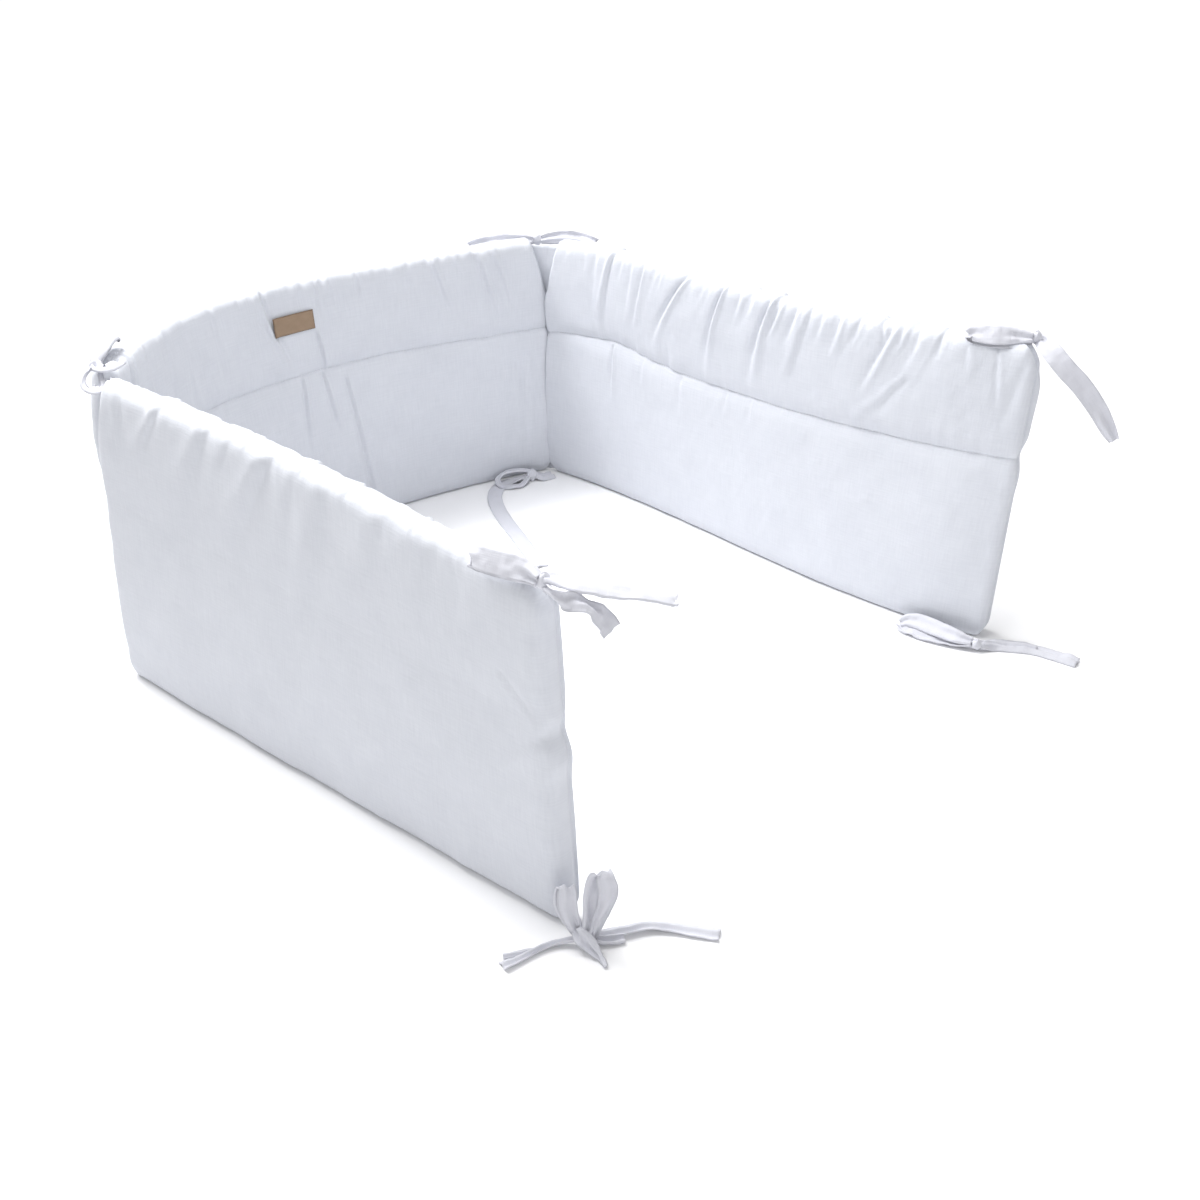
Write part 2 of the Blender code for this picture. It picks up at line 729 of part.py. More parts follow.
def pad_faces(panel):
    """Grids of points on the inner and the outer face of a pad."""
    shares, height = sample_places(panel)
    length = panel_length(panel)
    start = drawn_in(panel.start, height)
    end = drawn_in(panel.end, height)
    along = start + shares * (length - start - end)
    ends = (along - start, length - end - along)
    height = follow_stitch(panel, along, height)
    middle = mid_surface(panel, along, height)
    middle[..., 2] = settle_top(panel, along, height)
    side = inward(panel, along, height)
    inner = middle + side * half_thickness(panel, along, height, ends, True)[..., None]
    outer = middle - side * half_thickness(panel, along, height, ends, False)[..., None]
    return inner, outer


# ---- meshes ----

def close_faces(name, inner, outer, finish):
    """Make one closed object from the grids of its two faces, joined round their rims."""
    rows, columns = inner.shape[:2]
    count = rows * columns
    points = np.concatenate([inner.reshape(-1, 3), outer.reshape(-1, 3)])

    def front(row, column):
        return row * columns + column

    def back(row, column):
        return count + row * columns + column

    faces = []
    for row in range(rows - 1):
        for column in range(columns - 1):
            ring = ((row, column), (row, column + 1), (row + 1, column + 1), (row + 1, column))
            faces.append([front(*spot) for spot in ring])
            faces.append([back(*spot) for spot in reversed(ring)])
    for column in range(columns - 1):
        faces.append([back(0, column), back(0, column + 1), front(0, column + 1), front(0, column)])
        last = rows - 1
        faces.append([front(last, column), front(last, column + 1), back(last, column + 1), back(last, column)])
    for row in range(rows - 1):
        faces.append([back(row, 0), front(row, 0), front(row + 1, 0), back(row + 1, 0)])
        last = columns - 1
        faces.append([front(row, last), back(row, last), back(row + 1, last), front(row + 1, last)])
    return make_object(name, points.tolist(), faces, finish)


def make_object(name, points, faces, finish):
    """Make a smooth-shaded object with one material."""
    mesh = bpy.data.meshes.new(name)
    mesh.from_pydata(points, [], faces)
    mesh.validate()
    mesh.shade_smooth()
    mesh.set_sharp_from_angle(angle=math.radians(SHARP_ANGLE))
    mesh.materials.append(make_material(finish))
    thing = bpy.data.objects.new(name, mesh)
    bpy.context.scene.collection.objects.link(thing)
    return thing


def build_pad(panel):
    """One filled panel."""
    inner, outer = pad_faces(panel)
    return close_faces(panel.name, inner, outer, COTTON)


def seam_points(panel, at_end, heights):
    """Points of a panel's end seam on its mid surface."""
    corner = panel.end if at_end else panel.start
    inset = drawn_in(corner, heights)
    along = panel_length(panel) - inset if at_end else inset
    heights = follow_stitch(panel, along, heights)
    points = mid_surface(panel, along, heights)
    points[:, 2] = settle_top(panel, along, heights)
    return points, inward(panel, along, heights)


def build_strip(name, before, after):
    """The unfilled strip of cloth that joins two panels round a corner."""
    heights = sample_heights()
    heights = heights[(heights > STRIP_FOOT) & (heights < STRIP_TOP)]
    start, start_inward = seam_points(before, True, heights)
    end, end_inward = seam_points(after, False, heights)
    start = start + np.cross(np.array((0.0, 0.0, 1.0)), start_inward) * STRIP_GAP
    end = end - np.cross(np.array((0.0, 0.0, 1.0)), end_inward) * STRIP_GAP
    outward = -(start_inward + end_inward)
    outward /= np.linalg.norm(outward, axis=1, keepdims=True)
    bend = (start + end) / 2 + outward * 2 * STRIP_BULGE
    share = np.linspace(0.0, 1.0, STRIP_COLUMNS)[None, :, None]
    rest = 1.0 - share
    middle = rest**2 * start[:, None] + 2 * rest * share * bend[:, None] + share**2 * end[:, None]
    run = np.gradient(middle, axis=1)
    run[..., 2] = 0.0
    run /= np.linalg.norm(run, axis=-1, keepdims=True)
    side = np.stack([run[..., 1], -run[..., 0], np.zeros(run.shape[:2])], axis=-1)
    return close_faces(name, middle + side * STRIP_HALF, middle - side * STRIP_HALF, COTTON)


def build_patch(panel):
    """The blank patch, which follows the pad's bow a little clear of its highest point."""
    along, height = np.meshgrid(np.linspace(*PATCH_X, PATCH_COLUMNS), np.linspace(*PATCH_Z, PATCH_ROWS))
    ends = (along, panel_length(panel) - along)
    lift = half_thickness(panel, along, height, ends, True).max() + PATCH_GAP
    middle = mid_surface(panel, along, height)
    side = inward(panel, along, height)
    return close_faces(
        "blank_patch",
        middle + side * (lift + PATCH_THICKNESS),
        middle + side * lift,
        PATCH_LEATHER,
    )


# ---- ribbons ----

def ribbon_mesh(knot, strand):
    """A flat ribbon swept along its route, kept on or above the floor."""
    stops = np.array(strand.stops, float)
    places = (np.array(knot) + stops[:, :3]) * MILLIMETRE
    runs = np.gradient(places, axis=0)
    rings = []
    for place, run, stop in zip(places, runs, strand.stops):
        along = Vector(run).normalized()
        guide = Vector(strand.across) if strand.across else along.cross(Vector((0.0, 0.0, 1.0)))
        across = (guide - along * guide.dot(along)).normalized()
        across = Matrix.Rotation(math.radians(stop.twist), 3, along) @ across
        thick = along.cross(across).normalized()
        half_width = stop.width * MILLIMETRE / 2
        half_thick = RIBBON_THICKNESS / 2
        corners = ((-1, -1), (1, -1), (1, 1), (-1, 1))
        ring = [
            Vector(place) + across * (side * half_width) + thick * (level * half_thick)
            for side, level in corners
        ]
        lowest = min(point.z for point in ring)
        lift = Vector((0.0, 0.0, max(0.0, RIBBON_REST - lowest)))
        rings.append([point + lift for point in ring])
    points = [tuple(point) for ring in rings for point in ring]
    faces = [[3, 2, 1, 0]]
    for index in range(len(rings) - 1):
        base = 4 * index
        for corner in range(4):
            following = (corner + 1) % 4
            faces.append([base + corner, base + following, base + 4 + following, base + 4 + corner])
    base = 4 * (len(rings) - 1)
    faces.append([base, base + 1, base + 2, base + 3])
    return points, faces


def knot_mesh(knot, radii):
    """A small rounded knot."""
    shape = bmesh.new()
    bmesh.ops.create_uvsphere(shape, u_segments=KNOT_SEGMENTS, v_segments=KNOT_RINGS, radius=1.0)
    points = [
        tuple((knot[axis] + vertex.co[axis] * radii[axis]) * MILLIMETRE for axis in range(3))
        for vertex in shape.verts
    ]
    faces = [[vertex.index for vertex in face.verts] for face in shape.faces]
    shape.free()
    return points, faces


def join_solids(base, others):
    """Unite closed objects into the first with exact Booleans, and remove the others."""
    for other in others:
        union = base.modifiers.new(other.name, "BOOLEAN")
        union.operation = "UNION"
        union.solver = "EXACT"
        union.object = other
    graph = bpy.context.evaluated_depsgraph_get()
    mesh = bpy.data.meshes.new_from_object(base.evaluated_get(graph))
    base.modifiers.clear()
    base.data = mesh
    for other in others:
        bpy.data.objects.remove(other, do_unlink=True)
    shape = bmesh.new()
    shape.from_mesh(mesh)
    bmesh.ops.remove_doubles(shape, verts=shape.verts, dist=WELD_DISTANCE)
    bmesh.ops.dissolve_degenerate(shape, edges=shape.edges, dist=WELD_DISTANCE)
    bmesh.ops.triangulate(shape, faces=shape.faces)
    shape.to_mesh(mesh)
    shape.free()
    return base


def build_tie(tie):
    """One tie: its ribbons and its knot, united."""
    points, faces = knot_mesh(tie.knot, tie.knot_radii)
    knot = make_object(tie.name, points, faces, COTTON)
    strands = []
    for number, strand in enumerate(tie.strands):
        points, faces = ribbon_mesh(tie.knot, strand)
        strands.append(make_object(f"{tie.name}_strand_{number}", points, faces, COTTON))
    return join_solids(knot, strands)


def stand_on_origin(things):
    """Shift the whole object level, so that its box is centred over the origin."""
    points = np.array([vertex.co for thing in things for vertex in thing.data.vertices])
    centre = (points.min(axis=0) + points.max(axis=0)) / 2
    for thing in things:
        thing.data.transform(Matrix.Translation((-centre[0], -centre[1], 0.0)))


def main():
    """Build every piece of the bumper."""
    clear_scene()
    things = [build_pad(panel) for panel in PANELS]
    things.append(build_strip("corner_strip_left", NEAR, HEAD))
    things.append(build_strip("corner_strip_right", HEAD, FAR))
    things.append(build_patch(HEAD))
    things.extend(build_tie(tie) for tie in TIES)
    stand_on_origin(things)


main()
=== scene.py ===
"""Dress the padded crib bumper: cotton pads, corner strips, ribbon ties and a blank patch.

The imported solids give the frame. Each one is replaced by a finer piece of the same form,
with gathers, seams, stitches and woven cloth. The U opens towards -Y, the near panel is on
the -X side, and lengths are in metres unless a name says millimetres.
"""
from __future__ import annotations

import logging
import math
from dataclasses import dataclass, replace
from enum import Enum
from typing import Any, ClassVar, Iterable, Sequence

import bpy
import numpy as np
from mathutils import Matrix, Vector

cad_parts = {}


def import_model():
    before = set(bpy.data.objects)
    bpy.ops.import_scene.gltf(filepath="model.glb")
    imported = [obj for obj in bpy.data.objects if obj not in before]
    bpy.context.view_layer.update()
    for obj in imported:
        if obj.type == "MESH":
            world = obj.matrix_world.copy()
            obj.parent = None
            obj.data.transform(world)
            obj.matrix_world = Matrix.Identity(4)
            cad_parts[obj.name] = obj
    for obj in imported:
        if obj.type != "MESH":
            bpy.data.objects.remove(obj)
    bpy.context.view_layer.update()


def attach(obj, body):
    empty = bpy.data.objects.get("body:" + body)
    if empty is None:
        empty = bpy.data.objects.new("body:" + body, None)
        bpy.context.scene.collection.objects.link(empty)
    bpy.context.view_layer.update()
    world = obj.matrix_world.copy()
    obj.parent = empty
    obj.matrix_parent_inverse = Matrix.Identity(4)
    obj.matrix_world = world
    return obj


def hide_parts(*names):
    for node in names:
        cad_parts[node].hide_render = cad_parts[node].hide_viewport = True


LOG = logging.getLogger("bumper")
ROOT = "root"
WEAVE_MAP = "weave"
MILLIMETRE = 0.001
UPRIGHT = np.array((0.0, 0.0, 1.0))
Array = np.ndarray


# ---------------------------------------------------------------- shader expressions


class Value:
    """A shader socket that takes part in Python sums and products."""

    def __init__(self, recipe: "Recipe", socket: bpy.types.NodeSocket) -> None:
        """Wrap one output socket of a recipe's nodes."""
        self.recipe = recipe
        self.socket = socket

    def __add__(self, other: "Value | float") -> "Value":
        """Sum."""
        return self.recipe.math("ADD", self, other)

    __radd__ = __add__

    def __sub__(self, other: "Value | float") -> "Value":
        """Difference."""
        return self.recipe.math("SUBTRACT", self, other)

    def __rsub__(self, other: "Value | float") -> "Value":
        """Difference from a number."""
        return self.recipe.math("SUBTRACT", other, self)

    def __mul__(self, other: "Value | float") -> "Value":
        """Product."""
        return self.recipe.math("MULTIPLY", self, other)

    __rmul__ = __mul__

    def __truediv__(self, other: "Value | float") -> "Value":
        """Quotient."""
        return self.recipe.math("DIVIDE", self, other)


class Recipe:
    """One material's node tree, and the few ways of adding to it."""

    def __init__(self, name: str) -> None:
        """Start an empty material.

        Args:
            name: the material's name.
        """
        self.material = bpy.data.materials.new(name)
        self.material.use_nodes = True
        self.tree = self.material.node_tree
        self.tree.nodes.clear()

    def node(self, kind: str, settings: dict[str, Any] | None = None, **sockets: Any) -> bpy.types.Node:
        """Add a node.

        Args:
            kind: Blender's node type.
            settings: its properties, set before the sockets.
            **sockets: values or links by socket name, with _ for a space, or in_N by number.

        Returns:
            The new node.
        """
        made = self.tree.nodes.new(kind)
        for name, setting in (settings or {}).items():
            setattr(made, name, setting)
        for name, given in sockets.items():
            key = int(name[3:]) if name.startswith("in_") else name.replace("_", " ")
            self.feed(made.inputs[key], given)
        return made

    def feed(self, socket: bpy.types.NodeSocket, given: Any) -> None:
        """Link a value to a socket, or set the socket's own value.

        Args:
            socket: an input of a node.
            given: a value, an output of a node, or a plain number, colour or vector.
        """
        if isinstance(given, Value):
            self.tree.links.new(given.socket, socket)
        elif isinstance(given, bpy.types.NodeSocket):
            self.tree.links.new(given, socket)
        else:
            socket.default_value = given

    def math(self, operation: str, *given: Any) -> Value:
        """Add a Math node to an expression and return its value."""
        sockets = {f"in_{index}": part for index, part in enumerate(given)}
        return self.value(self.node("ShaderNodeMath", {"operation": operation}, **sockets))

    @staticmethod
    def clamp(share: Value) -> Value:
        """A value held between 0 and 1."""
        return share.recipe.math("MINIMUM", share.recipe.math("MAXIMUM", share, 0.0), 1.0)

    def value(self, node: bpy.types.Node, output: int | str = 0) -> Value:
        """An output of a node, as a value."""
        return Value(self, node.outputs[output])

    def woven_place(self) -> tuple[Value, Value]:
        """Place on the flat cloth.

        Returns:
            Millimetres along it and up it.
        """
        place = self.node("ShaderNodeUVMap", {"uv_map": WEAVE_MAP})
        parts = self.node("ShaderNodeSeparateXYZ", None, Vector=place.outputs["UV"])
        return self.value(parts, "X"), self.value(parts, "Y")

    def noise(self, along: Value, up: Value, pitch: tuple[float, float], detail: float, seed: float) -> Value:
        """Smooth noise, stretched to two pitches.

        Args:
            along: place along the cloth.
            up: place up the cloth.
            pitch: size of the noise's cells in both directions, in the place's unit.
            detail: octaves of finer noise.
            seed: third coordinate, so that two noises differ.

        Returns:
            Noise from 0 to 1.
        """
        place = self.node("ShaderNodeCombineXYZ", None, X=along / pitch[0], Y=up / pitch[1], Z=seed)
        made = self.node("ShaderNodeTexNoise", None, Vector=place.outputs[0], Scale=1.0, Detail=detail)
        return self.value(made, "Fac")

    def mix(self, share: Any, first: Any, second: Any) -> bpy.types.NodeSocket:
        """Blend two colours."""
        made = self.node("ShaderNodeMix", {"data_type": "RGBA"}, in_0=share, in_6=first, in_7=second)
        return made.outputs[2]

    def finish(
        self, colour: Any, roughness: Any, relief: Value, depth: float, **fixed: Any
    ) -> bpy.types.Material:
        """Close the recipe with its surface.

        Args:
            colour: base colour.
            roughness: roughness.
            relief: height of the fine surface, 0 to 1.
            depth: height in metres that 1 stands for.
            **fixed: other sockets of the surface, the same all over.

        Returns:
            The material.
        """
        bump = self.node("ShaderNodeBump", None, Strength=1.0, Distance=depth, Height=relief)
        looks = {"Base_Color": colour, "Roughness": roughness, "Normal": bump.outputs[0], **fixed}
        surface = self.node("ShaderNodeBsdfPrincipled", None, **looks)
        self.node("ShaderNodeOutputMaterial", None, Surface=surface.outputs[0])
        return self.material


# ---------------------------------------------------------------- finishes


@dataclass(frozen=True)
class CottonFinish:
    """Plain woven cotton with slubs: thicker threads that run a little way.

    Attributes:
        name: the material's name.
        colour: colour of the raised threads.
        shadow: colour between them, painted shade between the raised threads.
        thread_mm: width of a slub.
        slub_mm: length of a slub.
        contrast: how sharply the threads stand out.
        gap: how much of the cloth lies between them.
        grain: size of the finest unevenness, as a share of a slub's width.
        cloud_mm: size of the faint patches of tone.
        thread_tone: share of the threads, and so of the painted shade between them, in the colour.
        cloud_tone: share of the patches in it.
        tone_drop: how far both are darkened.
        thread_relief: share of the threads in the height, beside the grain.
        roughness: roughness between the threads.
        polish: how much smoother the raised threads are.
        depth: height of the threads in metres.
        sheen: strength of the soft glow of loose fibres.
        sheen_roughness: how far that glow spreads.
    """

    name: str
    colour: tuple[float, float, float] = (0.660, 0.678, 0.724)
    shadow: tuple[float, float, float] = (0.560, 0.578, 0.630)
    thread_mm: float = 1.5
    slub_mm: float = 22.0
    contrast: float = 0.9
    gap: float = 0.4
    grain: float = 0.7
    cloud_mm: tuple[float, float] = (46.0, 38.0)
    thread_tone: float = 0.75
    cloud_tone: float = 0.5
    tone_drop: float = 0.1
    thread_relief: float = 0.65
    roughness: float = 0.92
    polish: float = 0.08
    depth: float = 0.00028
    sheen: float = 0.12
    sheen_roughness: float = 0.6

    def make(self) -> bpy.types.Material:
        """Make the material.

        Returns:
            The material.
        """
        recipe = Recipe(self.name)
        along, up = recipe.woven_place()
        fine_mm = self.thread_mm * self.grain
        warp = recipe.noise(along, up, (self.thread_mm, self.slub_mm), detail=2.0, seed=0.0)
        weft = recipe.noise(along, up, (self.slub_mm, self.thread_mm), detail=2.0, seed=7.0)
        grain = recipe.noise(along, up, (fine_mm, fine_mm), detail=1.0, seed=3.0)
        clouds = recipe.noise(along, up, self.cloud_mm, detail=2.0, seed=11.0)
        thread = recipe.clamp((warp + weft) * self.contrast - self.gap)
        # Painted shade: the colour darkens to the shadow colour between the raised threads, where the bump is
        # low; the patches only add random tone.
        tone = recipe.clamp(thread * self.thread_tone + clouds * self.cloud_tone - self.tone_drop)
        colour = recipe.mix(tone, (*self.shadow, 1.0), (*self.colour, 1.0))
        relief = thread * self.thread_relief + grain * (1.0 - self.thread_relief)
        roughness = self.roughness - tone * self.polish
        glow = {"Sheen_Weight": self.sheen, "Sheen_Roughness": self.sheen_roughness}
        return recipe.finish(colour, roughness, relief, self.depth, **glow)


@dataclass(frozen=True)
class ThreadFinish:
    """Twisted sewing thread.

    Attributes:
        name: the material's name.
        colour: colour of its plies.
        groove: colour between the plies, as a share of their colour: painted shade in the grooves.
        ply_mm: distance from ply to ply.
        roughness: roughness between the plies.
        polish: how much smoother the plies are.
        depth: height of a ply in metres.
    """

    name: str = "sewing_thread"
    colour: tuple[float, float, float] = (0.74, 0.75, 0.78)
    groove: float = 0.88
    ply_mm: float = 0.35
    roughness: float = 0.7
    polish: float = 0.1
    depth: float = 0.00005

    def make(self) -> bpy.types.Material:
        """Make the material.

        Returns:
            The material.
        """
        recipe = Recipe(self.name)
        along, up = recipe.woven_place()
        ply = recipe.math("SINE", (along + up) * (2 * math.pi / self.ply_mm)) * 0.5 + 0.5
        # Painted shade: the plies' colour is darkened between them, following the same wave as the bump.
        dark = tuple(part * self.groove for part in self.colour)
        colour = recipe.mix(ply, (*dark, 1.0), (*self.colour, 1.0))
        return recipe.finish(colour, self.roughness - ply * self.polish, ply, self.depth)


@dataclass(frozen=True)
class PatchFinish:
    """Tan leather-like patch, darker towards its cut edge.

    Attributes:
        name: the material's name.
        size_mm: the patch's width and height.
        colour: its colour.
        dark: colour of its cut edge and of the worn places.
        edge_mm: width of the dark edge.
        grain_mm: size of its grain.
        wear_mm: size of the worn places.
        edge_tone: how much the edge darkens the colour.
        wear_tone: how much the worn places do.
        grain_tone: how much the grain does.
        tone_drop: how far all three are lightened.
        roughness: least roughness.
        grain_roughness: how much rougher the grain makes it.
        edge_sink: how far the cut edge is sunk, in heights of the grain.
        depth: height of the grain in metres.
    """

    name: str = "tan_leather"
    size_mm: tuple[float, float] = (48.0, 20.5)
    colour: tuple[float, float, float] = (0.315, 0.222, 0.148)
    dark: tuple[float, float, float] = (0.165, 0.108, 0.068)
    edge_mm: float = 1.6
    grain_mm: tuple[float, float] = (0.9, 0.8)
    wear_mm: tuple[float, float] = (9.0, 6.0)
    edge_tone: float = 0.75
    wear_tone: float = 0.5
    grain_tone: float = 0.18
    tone_drop: float = 0.12
    roughness: float = 0.62
    grain_roughness: float = 0.2
    edge_sink: float = 0.4
    depth: float = 0.00018

    def make(self) -> bpy.types.Material:
        """Make the material.

        Returns:
            The material.
        """
        recipe = Recipe(self.name)
        along, up = recipe.woven_place()
        width, height = self.size_mm
        aside = recipe.math("MINIMUM", along, width - along)
        rise = recipe.math("MINIMUM", up, height - up)
        edge = recipe.clamp(1.0 - recipe.math("MINIMUM", aside, rise) / self.edge_mm)
        grain = recipe.noise(along, up, self.grain_mm, detail=3.0, seed=2.0)
        wear = recipe.noise(along, up, self.wear_mm, detail=3.0, seed=5.0)
        worn = (1.0 - wear) * self.wear_tone - self.tone_drop
        tone = recipe.clamp(edge * self.edge_tone + worn + grain * self.grain_tone)
        colour = recipe.mix(tone, (*self.colour, 1.0), (*self.dark, 1.0))
        roughness = self.roughness + grain * self.grain_roughness
        return recipe.finish(colour, roughness, grain - edge * self.edge_sink, self.depth)


@dataclass(frozen=True)
class FloorFinish:
    """Plain pale studio floor."""

    name: str = "studio_floor"
    colour: tuple[float, float, float] = (0.93, 0.93, 0.94)
    roughness: float = 0.9

    def make(self) -> bpy.types.Material:
        """Make the material.

        Returns:
            The material.
        """
        recipe = Recipe(self.name)
        looks = {"Base_Color": (*self.colour, 1.0), "Roughness": self.roughness}
        surface = recipe.node("ShaderNodeBsdfPrincipled", None, **looks)
        recipe.node("ShaderNodeOutputMaterial", None, Surface=surface.outputs[0])
        return recipe.material


# ---------------------------------------------------------------- smooth noise and easing


@dataclass(frozen=True)
class Wander:
    """Seeded smooth noise from -1 to 1.

    Attributes:
        seed: seed of the noise.
        cells: number of cells after which it repeats.
        origin: where the cloth's corner is in it, in cells.
    """

    seed: int
    cells: int = 128
    origin: tuple[float, float] = (11.37, 5.71)

    def at(self, along: Array, up: Array, pitch: tuple[float, float]) -> Array:
        """Noise at places on the cloth.

        Args:
            along: distances along the cloth.
            up: distances up the cloth.
            pitch: size of a noise cell along and up.

        Returns:
            An array like the places.
        """
        lattice = np.random.default_rng(self.seed).uniform(-1.0, 1.0, (self.cells, self.cells))
        place_x = np.asarray(along) / pitch[0] + self.origin[0]
        place_y = np.asarray(up) / pitch[1] + self.origin[1]
        cell_x, cell_y = np.floor(place_x).astype(int), np.floor(place_y).astype(int)
        share_x, share_y = self.rounded(place_x - cell_x), self.rounded(place_y - cell_y)

        def corner(step_x: int, step_y: int) -> Array:
            """The lattice's values at one corner of each place's cell."""
            return lattice[(cell_x + step_x) % self.cells, (cell_y + step_y) % self.cells]

        low = corner(0, 0) * (1 - share_x) + corner(1, 0) * share_x
        high = corner(0, 1) * (1 - share_x) + corner(1, 1) * share_x
        return low * (1 - share_y) + high * share_y

    @staticmethod
    def rounded(share: Array) -> Array:
        """A share from 0 to 1, made smooth at both ends in slope and in curve."""
        return share**3 * (share * (share * 6 - 15) + 10)


@dataclass(frozen=True)
class Ripple:
    """One layer of unevenness in a cloth.

    Attributes:
        depth: how far it moves the cloth.
        pitch: size of its waves along and up the cloth.
        step: what it adds to the cloth's own seed.
        slant: how far it leans along the cloth for each metre up.
    """

    depth: float
    pitch: tuple[float, float]
    step: int = 0
    slant: float = 0.0

    def at(self, along: Array, up: Array, seed: int) -> Array:
        """Its height at places on a cloth that has its own seed."""
        return self.depth * Wander(seed + self.step).at(along + up * self.slant, up, self.pitch)

    def level(self, along: Array, seed: int) -> Array:
        """Its height along the cloth, the same at every place up it."""
        return self.at(along, np.zeros_like(along), seed)


def falling(share: Array, steepness: float = 1.6) -> Array:
    """1 at share 0, falling to 0 at share 1 and beyond."""
    return np.clip(1.0 - share, 0.0, 1.0) ** steepness


def ease(share: Array) -> Array:
    """0 below 0, 1 above 1, smooth between."""
    held = np.clip(share, 0.0, 1.0)
    return held * held * (3.0 - 2.0 * held)


def bell(share: Array) -> Array:
    """1 at share 0, about a third at share 1 on either side, near 0 at share 2."""
    return np.exp(-(share**2))


def band(height: Array, low: float, high: float, low_edge: float, high_edge: float) -> Array:
    """1 between two heights, easing to 0 at them over the widths of the two edges."""
    return ease((height - low) / low_edge) * ease((high - height) / high_edge)


def unit(vectors: Array) -> Array:
    """Vectors of length 1 in the same directions."""
    return vectors / np.linalg.norm(vectors, axis=-1, keepdims=True)


# ---------------------------------------------------------------- the form of a pad


@dataclass(frozen=True)
class Plan:
    """One edge of a panel seen from above, as a Bezier curve.

    Attributes:
        start: its first end.
        start_handle: the handle there.
        end_handle: the handle at its last end.
        end: its last end.
        samples: number of points that its length is measured with.
    """

    start: tuple[float, float]
    start_handle: tuple[float, float]
    end_handle: tuple[float, float]
    end: tuple[float, float]

    samples: ClassVar[int] = 401

    def at(self, share: Array) -> Array:
        """Points of the curve.

        Args:
            share: shares of the curve's parameter.

        Returns:
            Level points, one for each share.
        """
        share = np.asarray(share, float)[..., None]
        rest = 1.0 - share
        points = [np.array(point) for point in (self.start, self.start_handle, self.end_handle, self.end)]
        weights = (rest**3, 3 * rest**2 * share, 3 * rest * share**2, share**3)
        return sum(weight * point for weight, point in zip(weights, points))

    def walk(self, distance: Array) -> tuple[Array, float]:
        """Go along the curve, and straight on beyond its ends.

        Args:
            distance: distances along the curve, less than 0 before its start.

        Returns:
            Level points, one for each distance, and the curve's length.
        """
        fine = np.linspace(0.0, 1.0, self.samples)
        steps = np.linalg.norm(np.diff(self.at(fine), axis=0), axis=1)
        lengths = np.concatenate(([0.0], np.cumsum(steps)))
        total = float(lengths[-1])
        distance = np.asarray(distance, float)
        before = np.minimum(distance, 0.0)[..., None] * unit(np.array(self.start_handle) - self.start)
        beyond = np.maximum(distance - total, 0.0)[..., None] * unit(np.array(self.end) - self.end_handle)
        return self.at(np.interp(distance, lengths, fine)) + before + beyond, total


@dataclass(frozen=True)
class EndSeam:
    """How a pad comes to an upright end seam.

    Attributes:
        top_draw: how far the seam's top is pulled in.
        top_reach: how far down that pull goes.
        foot_draw: how far its foot is pulled in.
        foot_reach: how far up that pull goes.
        inner_reach: how far from the seam the inner face comes to its full thickness.
        blunt: how squarely the pad rounds over at the seam, 2 for a circle.
        pinch: how far the seam is pulled in at one height.
        pinch_height: that height.
        inner_lean: how far the inner face swells past the seam.
        outer_lean: how far the outer face swells past it.
        shift: how far both faces sit towards the inside of the U beside the seam.
        groove: depth of the seam's own crevice, as a multiple of the pad's groove.
        thin: share of the inner face's thickness that is missing beside the seam.
    """

    top_draw: float
    top_reach: float
    foot_draw: float
    foot_reach: float
    inner_reach: float
    blunt: float
    pinch: float = 0.0
    pinch_height: float = 0.186
    inner_lean: float = 0.0
    outer_lean: float = 0.0
    shift: float = 0.0
    groove: float = 1.0
    thin: float = 0.0

    pinch_half: ClassVar[float] = 0.010
    bulge: ClassVar[float] = 0.9
    bulge_drop: ClassVar[float] = 0.022
    bulge_half: ClassVar[float] = 0.013

    def drawn(self, height: Array, top: float) -> Array:
        """How far the seam is pulled in; below its pinch it bulges out again.

        Args:
            height: heights on the panel.
            top: height of the panel.

        Returns:
            Distances along the panel, one for each height.
        """
        upper = self.top_draw * falling((top - height) / self.top_reach)
        lower = self.foot_draw * falling(height / self.foot_reach)
        away = height - self.pinch_height
        waist = bell(away / self.pinch_half) - self.bulge * bell((away + self.bulge_drop) / self.bulge_half)
        return upper + lower + self.pinch * waist


@dataclass(frozen=True)
class Fold:
    """A trough, or a ridge if its depth is negative, that widens from its top to its low end.

    Attributes:
        top_x: where its top is along the panel, in millimetres.
        top_z: where its top is up the panel.
        low_x: where its low end is along the panel.
        low_z: where its low end is up the panel.
        bend: how far its middle bows along the panel.
        depth: depth of the trough.
        width: distance from its centre line to its soft side.
        ridge: height of the ridge beside it, as a share of the depth.
        side: 1 if the ridge is beyond the trough along the panel, or -1 if it is before it.
        steep: width of the trough on the ridge's side, as a share of the width.
    """

    top_x: float
    top_z: float
    low_x: float
    low_z: float
    bend: float
    depth: float
    width: float
    ridge: float = 0.6
    side: int = 1
    steep: float = 0.55

    top_fade: ClassVar[float] = 0.05
    low_fade: ClassVar[float] = 0.55
    top_width: ClassVar[float] = 0.5
    spread: ClassVar[float] = 0.8
    roundness: ClassVar[float] = 1.6
    ridge_place: ClassVar[float] = 1.25
    ridge_half: ClassVar[float] = 0.85

    def relief(self, along: Array, height: Array) -> Array:
        """How far the fold moves a face.

        Args:
            along: distances along the panel, in metres.
            height: heights on the panel, in metres.

        Returns:
            Offsets outwards, in metres.
        """
        x, z = along / MILLIMETRE, height / MILLIMETRE
        share = (self.top_z - z) / (self.top_z - self.low_z)
        fade = ease(np.minimum(share / self.top_fade, (1.0 - share) / self.low_fade))
        bow = self.bend * 4.0 * share * (1.0 - share)
        centre = self.top_x + (self.low_x - self.top_x) * share + bow
        width = self.width * (self.top_width + self.spread * np.clip(share, 0.0, 1.0))
        aside = (x - centre) * self.side / width
        squeezed = np.where(aside > 0, aside / self.steep, aside)
        trough = -np.exp(-np.abs(squeezed) ** self.roundness)
        crest = self.ridge * bell((aside - self.ridge_place) / self.ridge_half)
        return self.depth * MILLIMETRE * fade * (trough + crest)


